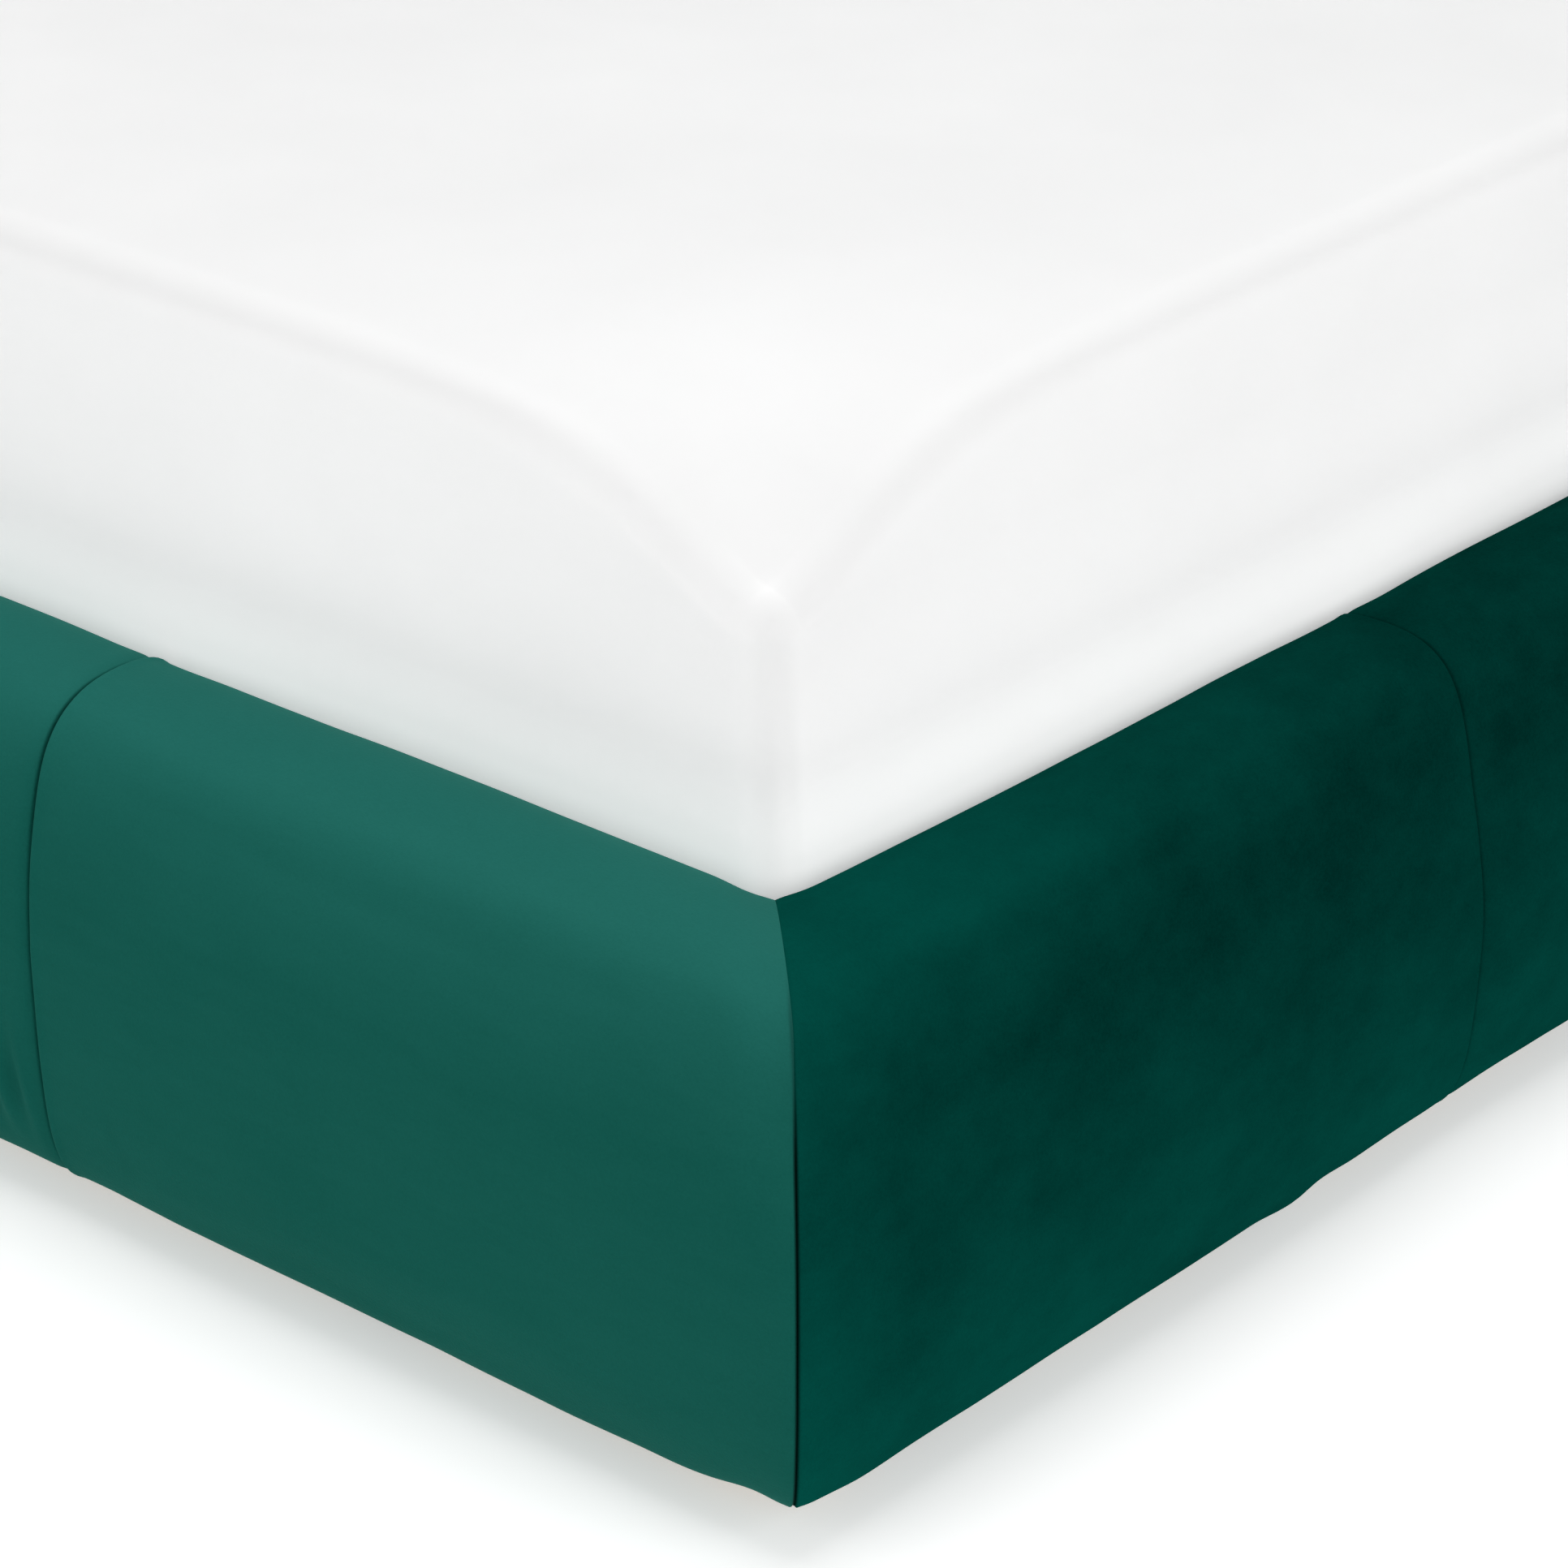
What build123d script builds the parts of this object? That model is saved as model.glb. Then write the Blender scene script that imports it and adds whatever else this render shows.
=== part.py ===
from build123d import *
import os

# Upholstered bed for a 1600 x 2000 mattress: padded velvet rails, padded headboard, slatted base.
#
# The origin is on the floor at the middle of the footprint. +X is to the right for someone standing at
# the foot and looking at the headboard, +Y runs from the foot to the headboard and +Z is up.
# Sizes are millimetres.

os.makedirs("parts", exist_ok=True)

# ---------------------------------------------------------------- driving dimensions
mattress_width = 1600
mattress_length = 2000
mattress_height = 300
play = 3  # gap between the made-up mattress and the frame, all round

rail_thickness = 130
rail_height = 330
floor_gap = 20
headboard_thickness = 140
headboard_height = 1120
side_panel = 666  # cover panel next to the foot corner

velvet = 2  # cover with its backing
board = 18  # plywood of the hollow rails
front_foam = 34  # from the outermost face to the plywood
top_foam = 40
front_radius = 480  # belly of the rail's outer face
belly_height = 147  # widest part of the belly above the rail's underside
beyond = 60  # how far a cutting shape runs past what it cuts

# ---------------------------------------------------------------- places worked out from them
rail_top = floor_gap + rail_height
half_width = mattress_width / 2 + rail_thickness
half_length = (mattress_length + 2 * play + rail_thickness + headboard_thickness) / 2
foot_outer = -half_length
foot_inner = foot_outer + rail_thickness
headboard_front = half_length - headboard_thickness
mattress_middle = (foot_inner + headboard_front) / 2

core_bottom = 34  # underside of the plywood, which stands on the feet
core_top = rail_top - top_foam
core_inner = rail_thickness - velvet  # inner plywood face, in from the outermost face
flap_end = 258  # the velvet is stapled to the inner board down to this height
under_flap = 60  # and under the rail as far in as this

foot_panel = 2 * half_width / 3
other_side_panel = (headboard_front - foot_outer - side_panel) / 2
seam_1 = foot_outer + side_panel
seam_2 = seam_1 + other_side_panel


def save(builder, name):
    """Labels a finished sub-part and writes it."""
    builder.part.label = name
    export_step(builder.part, f"parts/{name}.step")


def mirrored(builder):
    """The left-hand twin of a right-hand sub-part."""
    with BuildPart() as twin:
        add(builder.part)
        mirror(about=Plane.YZ, mode=Mode.REPLACE)
    return twin


def save_pair(builder, name):
    """Writes a right-hand sub-part and its left-hand twin."""
    save(builder, f"{name}_right")
    save(mirrored(builder), f"{name}_left")


# ---------------------------------------------------------------- sections of a padded rail
# In a section x runs in from the outermost face and y runs up from the rail's top.
belly = belly_height - rail_height
heel = front_radius - (front_radius**2 - belly_height**2) ** 0.5
shoulder_point = (30, -15)
inner_edge = (rail_thickness, -12)
inner_foot = (rail_thickness, -rail_height)
heel_point = (heel, -rail_height)
crown_point = (86, 0)
corner_radii = {shoulder_point: 28, heel_point: 38, inner_edge: 10, inner_foot: 8}

with BuildSketch() as outer_outline:
    with BuildLine():
        ThreePointArc(inner_edge, crown_point, shoulder_point)
        ThreePointArc(shoulder_point, (0, belly), heel_point)
        Polyline(heel_point, inner_foot, inner_edge)
    make_face()
    for corner, radius in corner_radii.items():
        fillet(outer_outline.vertices().sort_by_distance(corner)[0], radius)

with BuildSketch() as inner_outline:
    add(outer_outline.sketch)
    offset(amount=-velvet, mode=Mode.REPLACE)

# Where there is timber or nothing: the hollow core, and the open underside behind the flap.
with BuildSketch() as core_zone:
    with Locations((front_foam, core_top - rail_top)):
        Rectangle(rail_thickness, core_top - core_bottom, align=(Align.MIN, Align.MAX))
    with Locations((under_flap, core_bottom - rail_top)):
        Rectangle(rail_thickness, beyond, align=(Align.MIN, Align.MAX))

with BuildSketch() as foam_section:
    add(inner_outline.sketch)
    add(core_zone.sketch, mode=Mode.SUBTRACT)

with BuildSketch() as cover_section:
    add(outer_outline.sketch)
    add(inner_outline.sketch, mode=Mode.SUBTRACT)
    with Locations((rail_thickness - beyond / 2, flap_end - rail_top)):
        Rectangle(beyond, rail_height, align=(Align.MIN, Align.MAX), mode=Mode.SUBTRACT)
    with Locations((under_flap, core_bottom - rail_top)):
        Rectangle(rail_thickness, beyond, align=(Align.MIN, Align.MAX), mode=Mode.SUBTRACT)

# Two upright boards, and a batten across their tops and one across their feet.
core_height = core_top - core_bottom
inside_width = core_inner - front_foam - 2 * board
inside_middle = (front_foam + core_inner) / 2

with BuildSketch() as board_section:
    with Locations((front_foam, core_top - rail_top), (core_inner - board, core_top - rail_top)):
        Rectangle(board, core_height, align=(Align.MIN, Align.MAX))

with BuildSketch() as batten_section:
    with Locations((inside_middle, core_top - rail_top)):
        Rectangle(inside_width, board, align=(Align.CENTER, Align.MAX))
    with Locations((inside_middle, core_bottom - rail_top)):
        Rectangle(inside_width, board, align=(Align.CENTER, Align.MIN))

with BuildSketch() as spacer_section:
    with Locations((inside_middle, (core_top + core_bottom) / 2 - rail_top)):
        Rectangle(inside_width, core_height - 2 * board)

# ---------------------------------------------------------------- lengths of rail, mitred
right_mitre = Plane(origin=(half_width, foot_outer, 0), z_dir=(1, 1, 0))
left_mitre = Plane(origin=(-half_width, foot_outer, 0), z_dir=(-1, 1, 0))


def side_length(section, start, end):
    """A length of the right-hand side rail between two places along Y."""
    station = Plane(origin=(half_width, start, rail_top), x_dir=(-1, 0, 0), z_dir=(0, 1, 0))
    with BuildPart() as length:
        with BuildSketch(station):
            add(section.sketch)
        extrude(amount=end - start)
        split(bisect_by=right_mitre, keep=Keep.TOP)
    return length


def foot_length(section, start, end):
    """A length of the foot rail between two places along X."""
    station = Plane(origin=(start, foot_outer, rail_top), x_dir=(0, 1, 0), z_dir=(1, 0, 0))
    with BuildPart() as length:
        with BuildSketch(station):
            add(section.sketch)
        extrude(amount=end - start)
        split(bisect_by=right_mitre, keep=Keep.BOTTOM)
        split(bisect_by=left_mitre, keep=Keep.BOTTOM)
    return length


# ---------------------------------------------------------------- corner joining hardware
# Each inside corner has a steel angle held by two M8 bolts in each leg.
angle_leg = 60
angle_thickness = 4
angle_bottom = 70
angle_top = 190
bolt_heights = (100, 160)
bolt_radius = 4
bolt_hole_radius = 5
bolt_head_radius = 6.5
bolt_head = 5.3
washer_radius = 8
washer_thickness = 1.6
nut_flange_radius = 11
nut_flange = 1.5
bolt_offset = 30  # from the inside corner to the bolts

core_x = half_width - core_inner  # inner plywood faces
core_y = foot_outer + core_inner
side_bolt_places = [
    (core_x, y, z) for y in (core_y + bolt_offset, headboard_front - bolt_offset) for z in bolt_heights
]
foot_bolt_places = [(core_x - bolt_offset, core_y, z) for z in bolt_heights]
head_bolt_places = [(core_x - bolt_offset, headboard_front, z) for z in bolt_heights]
along_x = (0, 90, 0)
along_y = (90, 0, 0)

# ---------------------------------------------------------------- side rails
side_boards = side_length(board_section, foot_outer, headboard_front)
with BuildPart() as side_rail_boards:
    add(side_boards.part)
    with Locations(side_bolt_places):
        Cylinder(bolt_hole_radius, 2 * (board + 2), rotation=along_x, mode=Mode.SUBTRACT)
save_pair(side_rail_boards, "side_rail_boards")

save_pair(side_length(batten_section, foot_outer, headboard_front), "side_rail_battens")

spacer_length = 30
side_spacer_starts = [-900, -470, -40, 390, 820]
with BuildPart() as side_rail_spacers:
    for start in side_spacer_starts:
        station = Plane(origin=(half_width, start, rail_top), x_dir=(-1, 0, 0), z_dir=(0, 1, 0))
        with BuildSketch(station):
            add(spacer_section.sketch)
        extrude(amount=spacer_length)
save_pair(side_rail_spacers, "side_rail_spacers")

save_pair(side_length(foam_section, foot_outer, headboard_front), "side_rail_foam")

side_panels = {
    "foot": (foot_outer, seam_1),
    "middle": (seam_1, seam_2),
    "head": (seam_2, headboard_front),
}
for place, (start, end) in side_panels.items():
    save_pair(side_length(cover_section, start, end), f"side_rail_cover_{place}")

# ---------------------------------------------------------------- foot rail
foot_boards = foot_length(board_section, -half_width, half_width)
with BuildPart() as foot_rail_boards:
    add(foot_boards.part)
    with Locations(foot_bolt_places, [(-x, y, z) for x, y, z in foot_bolt_places]):
        Cylinder(bolt_hole_radius, 2 * (board + 2), rotation=along_y, mode=Mode.SUBTRACT)
save(foot_rail_boards, "foot_rail_boards")

save(foot_length(batten_section, -half_width, half_width), "foot_rail_battens")

foot_spacer_starts = [-695, -365, -15, 335, 665]
with BuildPart() as foot_rail_spacers:
    for start in foot_spacer_starts:
        station = Plane(origin=(start, foot_outer, rail_top), x_dir=(0, 1, 0), z_dir=(1, 0, 0))
        with BuildSketch(station):
            add(spacer_section.sketch)
        extrude(amount=spacer_length)
save(foot_rail_spacers, "foot_rail_spacers")

save(foot_length(foam_section, -half_width, half_width), "foot_rail_foam")

foot_panels = {
    "left": (-half_width, -foot_panel / 2),
    "centre": (-foot_panel / 2, foot_panel / 2),
    "right": (foot_panel / 2, half_width),
}
for place, (start, end) in foot_panels.items():
    save(foot_length(cover_section, start, end), f"foot_rail_cover_{place}")

# ---------------------------------------------------------------- headboard
headboard_foam_depth = 50
face_board_thickness = 12
side_foam = 28
back_cloth_thickness = 2
cushion_radius = 45  # rounding round the padded front
top_corner_radius = 40  # rounding of the two top corners, seen from the front
pad_back = headboard_front + velvet + headboard_foam_depth
frame_front = pad_back + face_board_thickness
frame_back = half_length - back_cloth_thickness
frame_half_width = half_width - velvet - side_foam
frame_top = headboard_height - side_foam - velvet
frame_depth = frame_back - frame_front
post_width = 70


def headboard_form(inset):
    """The padded form, flat at the back, with its other faces set in by inset."""
    width = 2 * (half_width - inset)
    height = headboard_height - floor_gap - 2 * inset
    depth = frame_back - headboard_front - inset
    with BuildPart() as form:
        with Locations((0, frame_back, floor_gap + inset)):
            Box(width, depth, height, align=(Align.CENTER, Align.MAX, Align.MIN))
        top_corners = form.edges().filter_by(Axis.Y).group_by(Axis.Z)[-1]
        fillet(top_corners, top_corner_radius - inset)
        front_rim = form.faces().sort_by(Axis.Y)[0].edges()
        fillet(front_rim, cushion_radius - inset)
    return form


with BuildPart() as headboard_posts:
    with GridLocations(2 * frame_half_width - post_width, 1, 2, 1):
        with Locations((0, frame_front, core_bottom)):
            Box(post_width, frame_depth, frame_top - core_bottom, align=(Align.CENTER, Align.MIN, Align.MIN))
save(headboard_posts, "headboard_posts")

cross_rail_length = 2 * (frame_half_width - post_width)
cross_rails = {core_bottom: 110, 540: 70, frame_top - 70: 70}  # height of the underside: depth
with BuildPart() as headboard_cross_rails:
    for underside, tall in cross_rails.items():
        with Locations((0, frame_front, underside)):
            Box(cross_rail_length, frame_depth, tall, align=(Align.CENTER, Align.MIN, Align.MIN))
save(headboard_cross_rails, "headboard_cross_rails")

with BuildPart() as headboard_face_board:
    with Locations((0, pad_back, core_bottom)):
        Box(
            2 * frame_half_width,
            face_board_thickness,
            frame_top - core_bottom,
            align=(Align.CENTER, Align.MIN, Align.MIN),
        )
save(headboard_face_board, "headboard_face_board")

# Hard points in the foam, where the side rails and the centre beam are bolted on.
block_front = headboard_front + velvet
side_block_inner = 730
side_block_outer = 880
block_bottom = 70
block_top = 220
centre_block_half = 90
centre_block_bottom = 140
centre_block_top = 262
all_head_bolts = head_bolt_places + [(-x, y, z) for x, y, z in head_bolt_places]
with BuildPart() as mounting_block_forms:
    for side in (-1, 1):
        with Locations((side * (side_block_inner + side_block_outer) / 2, block_front, block_bottom)):
            Box(
                side_block_outer - side_block_inner,
                headboard_foam_depth,
                block_top - block_bottom,
                align=(Align.CENTER, Align.MIN, Align.MIN),
            )
    with Locations((0, block_front, centre_block_bottom)):
        Box(
            2 * centre_block_half,
            headboard_foam_depth,
            centre_block_top - centre_block_bottom,
            align=(Align.CENTER, Align.MIN, Align.MIN),
        )

with BuildPart() as headboard_mounting_blocks:
    add(mounting_block_forms.part)
    with Locations(all_head_bolts):
        Cylinder(bolt_hole_radius, 3 * headboard_foam_depth, rotation=along_y, mode=Mode.SUBTRACT)
    with Locations([(x, pad_back, z) for x, y, z in all_head_bolts]):
        Cylinder(nut_flange_radius, 2 * nut_flange, rotation=along_y, mode=Mode.SUBTRACT)
save(headboard_mounting_blocks, "headboard_mounting_blocks")

inner_form = headboard_form(velvet)
with BuildPart() as headboard_foam:
    add(inner_form.part)
    with Locations((0, pad_back, frame_top)):
        Box(
            2 * frame_half_width,
            headboard_thickness,
            2 * headboard_height,
            align=(Align.CENTER, Align.MIN, Align.MAX),
            mode=Mode.SUBTRACT,
        )
    add(mounting_block_forms.part, mode=Mode.SUBTRACT)
save(headboard_foam, "headboard_foam")

hanger_half = 75
hanger_screw_places = [(x, z) for x in (-58, 58) for z in (175, 225)]
hanger_screw_radius = 2.5
outer_form = headboard_form(0)
with BuildPart() as headboard_cover:
    add(outer_form.part)
    add(inner_form.part, mode=Mode.SUBTRACT)
    with Locations((0, pad_back, core_bottom)):
        Box(
            2 * frame_half_width,
            headboard_thickness,
            beyond,
            align=(Align.CENTER, Align.MIN, Align.MAX),
            mode=Mode.SUBTRACT,
        )
    with Locations(all_head_bolts):
        Cylinder(bolt_hole_radius, beyond, rotation=along_y, mode=Mode.SUBTRACT)
    with Locations([(x, headboard_front, z) for x, z in hanger_screw_places]):
        Cylinder(hanger_screw_radius, 2 * velvet + 1, rotation=along_y, mode=Mode.SUBTRACT)

panel_edges = {
    "left": (-half_width - beyond, -foot_panel / 2),
    "centre": (-foot_panel / 2, foot_panel / 2),
    "right": (foot_panel / 2, half_width + beyond),
}
for place, (start, end) in panel_edges.items():
    with BuildPart() as cover_panel:
        add(headboard_cover.part)
        split(bisect_by=Plane.YZ.offset(start), keep=Keep.TOP)
        split(bisect_by=Plane.YZ.offset(end), keep=Keep.BOTTOM)
    save(cover_panel, f"headboard_cover_{place}")

cloth_margin = 4
with BuildPart() as headboard_back_cloth:
    with Locations((0, frame_back, floor_gap + cloth_margin)):
        Box(
            2 * (half_width - cloth_margin),
            back_cloth_thickness,
            headboard_height - floor_gap - 2 * cloth_margin,
            align=(Align.CENTER, Align.MIN, Align.MIN),
        )
    upper_corners = headboard_back_cloth.edges().filter_by(Axis.Y).group_by(Axis.Z)[-1]
    fillet(upper_corners, top_corner_radius - cloth_margin)
save(headboard_back_cloth, "headboard_back_cloth")

# ---------------------------------------------------------------- ledgers that carry the slats
ledger_width = 25
ledger_height = 45
ledger_top = 255
ledger_start = foot_inner + 8
ledger_end = headboard_front - 8
ledger_screw_radius = 3
ledger_screw_head_radius = 6
ledger_screw_head = 3
ledger_screw_places = [-920, -615, -310, -5, 300, 605, 910]
ledger_middle = core_x - ledger_width / 2

slat_count = 13
slat_pitch = 152
slat_width = 68
slat_thickness = 8
slat_places = [mattress_middle + slat_pitch * (i - (slat_count - 1) / 2) for i in range(slat_count)]
peg_radius = 3.9
peg_hole_radius = 4
peg_length = 14
peg_hole_depth = 16

with BuildPart() as ledger:
    with Locations((core_x, ledger_start, ledger_top)):
        Box(ledger_width, ledger_end - ledger_start, ledger_height, align=(Align.MAX, Align.MIN, Align.MAX))
    with Locations([(ledger_middle, y, ledger_top) for y in slat_places]):
        Cylinder(peg_hole_radius, 2 * peg_hole_depth, mode=Mode.SUBTRACT)
    with Locations([(core_x, y, ledger_top - ledger_height / 2) for y in ledger_screw_places]):
        Cylinder(ledger_screw_radius, 3 * ledger_width, rotation=along_x, mode=Mode.SUBTRACT)
save_pair(ledger, "ledger")

ledger_screw_length = ledger_width + board
with BuildPart() as ledger_screw_set:
    with Locations([(core_x - ledger_width, y, ledger_top - ledger_height / 2) for y in ledger_screw_places]):
        Cylinder(
            ledger_screw_radius,
            ledger_screw_length,
            rotation=along_x,
            align=(Align.CENTER, Align.CENTER, Align.MIN),
        )
        Cylinder(
            ledger_screw_head_radius,
            ledger_screw_head,
            rotation=along_x,
            align=(Align.CENTER, Align.CENTER, Align.MAX),
        )
with BuildPart() as ledger_screws:
    add(ledger_screw_set.part)
    mirror(about=Plane.YZ)
save(ledger_screws, "ledger_screws")

# ---------------------------------------------------------------- slats and their caps
cap_depth = 44
cap_width = 76
cap_height = 22
cap_wall = 7  # under the slat
cap_end = 12
grip = cap_depth - cap_end  # length of slat inside a cap
wall_play = 1  # between the caps and the rail cover
pocket_play = 0.2
side_cap_outer = half_width - rail_thickness - wall_play
slat_underside = ledger_top + cap_wall
slat_inner = cap_end  # the slats end this far from the bed's middle
slat_outer = side_cap_outer - cap_end
slat_rise = 24.7
bend_radius = 150  # where the slat leaves its cap
bend_run = 12

with BuildSketch(Plane.XZ) as slat_profile:
    with BuildLine() as slat_edge:
        near = (slat_inner + grip + bend_run, slat_underside)
        far = (slat_outer - grip - bend_run, slat_underside)
        middle = ((slat_inner + slat_outer) / 2, slat_underside + slat_rise)
        Line((slat_inner, slat_underside), near)
        ThreePointArc(near, middle, far)
        Line(far, (slat_outer, slat_underside))
        Line((slat_outer, slat_underside), (slat_outer, slat_underside + slat_thickness))
        Line((slat_outer, slat_underside + slat_thickness), (far[0], far[1] + slat_thickness))
        ThreePointArc(
            (far[0], far[1] + slat_thickness),
            (middle[0], middle[1] + slat_thickness),
            (near[0], near[1] + slat_thickness),
        )
        Line((near[0], near[1] + slat_thickness), (slat_inner, slat_underside + slat_thickness))
        Line((slat_inner, slat_underside + slat_thickness), (slat_inner, slat_underside))
    make_face()
    bends = [v for v in slat_profile.vertices() if v.X in (near[0], far[0])]
    fillet(bends, bend_radius)

with BuildPart() as slats:
    for y in slat_places:
        with BuildSketch(Plane.XZ.offset(-y)):
            add(slat_profile.sketch)
        extrude(amount=slat_width / 2, both=True)
save_pair(slats, "slats")

with BuildPart() as slat_caps_side:
    with Locations([(side_cap_outer, y, ledger_top) for y in slat_places]):
        Box(cap_depth, cap_width, cap_height, align=(Align.MAX, Align.CENTER, Align.MIN))
    with Locations([(side_cap_outer - cap_end, y, slat_underside) for y in slat_places]):
        Box(
            2 * grip,
            slat_width,
            slat_thickness + pocket_play,
            align=(Align.MAX, Align.CENTER, Align.MIN),
            mode=Mode.SUBTRACT,
        )
    with Locations([(ledger_middle, y, ledger_top) for y in slat_places]):
        Cylinder(peg_radius, peg_length, align=(Align.CENTER, Align.CENTER, Align.MAX))
save_pair(slat_caps_side, "slat_caps")

with BuildPart() as slat_caps_centre:
    with Locations([(0, y, ledger_top) for y in slat_places]):
        Box(2 * cap_depth, cap_width, cap_height, align=(Align.CENTER, Align.CENTER, Align.MIN))
    for side in (-1, 1):
        with Locations([(side * (cap_end + grip), y, slat_underside) for y in slat_places]):
            Box(
                2 * grip,
                slat_width,
                slat_thickness + pocket_play,
                align=(Align.CENTER, Align.CENTER, Align.MIN),
                mode=Mode.SUBTRACT,
            )
    with Locations([(0, y, ledger_top) for y in slat_places]):
        Cylinder(peg_radius, peg_length, align=(Align.CENTER, Align.CENTER, Align.MAX))
save(slat_caps_centre, "slat_caps_centre")

# ---------------------------------------------------------------- centre beam, hangers and legs
beam_width = 70
beam_height = 100
hanger_steel = 3
beam_clearance = 2
beam_bottom = ledger_top - beam_height
beam_start = core_y + hanger_steel + beam_clearance
beam_end = headboard_front - hanger_steel - beam_clearance
leg_places = [mattress_middle - 2.5 * slat_pitch, mattress_middle + 2.5 * slat_pitch]
leg_bolt_head_recess = 12

with BuildPart() as centre_beam:
    with Locations((0, beam_start, ledger_top)):
        Box(beam_width, beam_end - beam_start, beam_height, align=(Align.CENTER, Align.MIN, Align.MAX))
    with Locations([(0, y, ledger_top) for y in slat_places]):
        Cylinder(peg_hole_radius, 2 * peg_hole_depth, mode=Mode.SUBTRACT)
    with Locations([(0, y, ledger_top) for y in leg_places]):
        CounterBoreHole(bolt_radius + 0.2, nut_flange_radius, leg_bolt_head_recess)
save(centre_beam, "centre_beam")

hanger_top = 250
hanger_lip = 240
hanger_reach = 50
with BuildPart() as beam_hangers:
    for face, inward in ((core_y, 1), (headboard_front, -1)):
        near_face = Align.MIN if inward == 1 else Align.MAX
        with Locations((0, face, beam_bottom - hanger_steel)):
            Box(
                2 * hanger_half,
                hanger_steel,
                hanger_top - beam_bottom + hanger_steel,
                align=(Align.CENTER, near_face, Align.MIN),
            )
            Box(
                beam_width + 2 * hanger_steel,
                hanger_reach,
                hanger_steel,
                align=(Align.CENTER, near_face, Align.MIN),
            )
        for side in (-1, 1):
            with Locations((side * (beam_width + hanger_steel) / 2, face, beam_bottom - hanger_steel)):
                Box(
                    hanger_steel,
                    hanger_reach,
                    hanger_lip - beam_bottom + hanger_steel,
                    align=(Align.CENTER, near_face, Align.MIN),
                )
        with Locations([(x, face, z) for x, z in hanger_screw_places]):
            Cylinder(hanger_screw_radius, 4 * hanger_steel, rotation=along_y, mode=Mode.SUBTRACT)
save(beam_hangers, "beam_hangers")

hanger_screw_length = 20
hanger_head_radius = 5
hanger_head = 2.5
with BuildPart() as hanger_screws:
    for face, inward in ((core_y, 1), (headboard_front, -1)):
        for x, z in hanger_screw_places:
            with Locations((x, face + inward * (hanger_steel - hanger_screw_length / 2), z)):
                Cylinder(hanger_screw_radius, hanger_screw_length, rotation=along_y)
            with Locations((x, face + inward * (hanger_steel + hanger_head / 2), z)):
                Cylinder(hanger_head_radius, hanger_head, rotation=along_y)
save(hanger_screws, "hanger_screws")

leg_width = 50
leg_bottom = 34
stud_radius = 5
stud_bore_radius = 5.5
stud_top = 75
stud_bore_top = 100
pad_radius = 22.5
pad_height = 8

with BuildPart() as beam_legs:
    for y in leg_places:
        with Locations((0, y, leg_bottom)):
            Box(leg_width, leg_width, beam_bottom - leg_bottom, align=(Align.CENTER, Align.CENTER, Align.MIN))
        with Locations((0, y, stud_bore_top)):
            Cylinder(
                stud_bore_radius,
                stud_bore_top,
                align=(Align.CENTER, Align.CENTER, Align.MAX),
                mode=Mode.SUBTRACT,
            )
save(beam_legs, "beam_legs")

leg_bolt_bottom = 108
with BuildPart() as leg_bolts:
    for y in leg_places:
        with Locations((0, y, leg_bolt_bottom)):
            Cylinder(
                bolt_radius,
                ledger_top - leg_bolt_head_recess - leg_bolt_bottom,
                align=(Align.CENTER, Align.CENTER, Align.MIN),
            )
        with Locations((0, y, ledger_top - leg_bolt_head_recess)):
            Cylinder(bolt_head_radius, bolt_head, align=(Align.CENTER, Align.CENTER, Align.MIN))
save(leg_bolts, "leg_bolts")

for name, y in zip(("front", "rear"), leg_places):
    with BuildPart() as levelling_foot:
        with Locations((0, y, 0)):
            Cylinder(pad_radius, pad_height, align=(Align.CENTER, Align.CENTER, Align.MIN))
            Cylinder(stud_radius, stud_top, align=(Align.CENTER, Align.CENTER, Align.MIN))
        fillet(levelling_foot.edges().filter_by(GeomType.CIRCLE).group_by(Axis.Z)[-2], 1.5)
    save(levelling_foot, f"levelling_foot_{name}")

# ---------------------------------------------------------------- corner angles, bolts and nuts
angle_height = angle_top - angle_bottom
angle_middle = (angle_top + angle_bottom) / 2
angle_hole_radius = bolt_radius + 0.5


def corner_angle(corner_y, inward):
    """The steel angle in the right-hand inside corner at corner_y, its second leg along X."""
    towards = Align.MIN if inward == 1 else Align.MAX
    leg_y = corner_y + inward * bolt_offset
    with BuildPart() as angle:
        with Locations((core_x, corner_y, angle_middle)):
            Box(angle_thickness, angle_leg, angle_height, align=(Align.MAX, towards, Align.CENTER))
            Box(angle_leg, angle_thickness, angle_height, align=(Align.MAX, towards, Align.CENTER))
        with Locations([(core_x, leg_y, z) for z in bolt_heights]):
            Cylinder(angle_hole_radius, 3 * angle_thickness, rotation=along_x, mode=Mode.SUBTRACT)
        with Locations([(core_x - bolt_offset, corner_y, z) for z in bolt_heights]):
            Cylinder(angle_hole_radius, 3 * angle_thickness, rotation=along_y, mode=Mode.SUBTRACT)
    return angle


for name, corner_y, inward in (("foot", core_y, 1), ("headboard", headboard_front, -1)):
    right_angle = corner_angle(corner_y, inward)
    with BuildPart() as corner_brackets:
        add(right_angle.part)
        mirror(about=Plane.YZ)
    save(corner_brackets, f"{name}_corner_brackets")

short_bolt = 25
long_bolt = 55
seat = angle_thickness + washer_thickness  # from the timber face to the underside of the bolt head
bolt_runs = [((x, y, z), (-1, 0, 0), short_bolt) for x, y, z in side_bolt_places]
bolt_runs += [((x, y, z), (0, 1, 0), short_bolt) for x, y, z in foot_bolt_places]
bolt_runs += [((x, y, z), (0, -1, 0), long_bolt) for x, y, z in head_bolt_places]


def bolt_axis(place, outward, distance):
    """The plane across a bolt, a distance out from the timber face, facing the room."""
    return Plane(origin=Vector(*place) + Vector(*outward) * distance, z_dir=outward)


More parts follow.
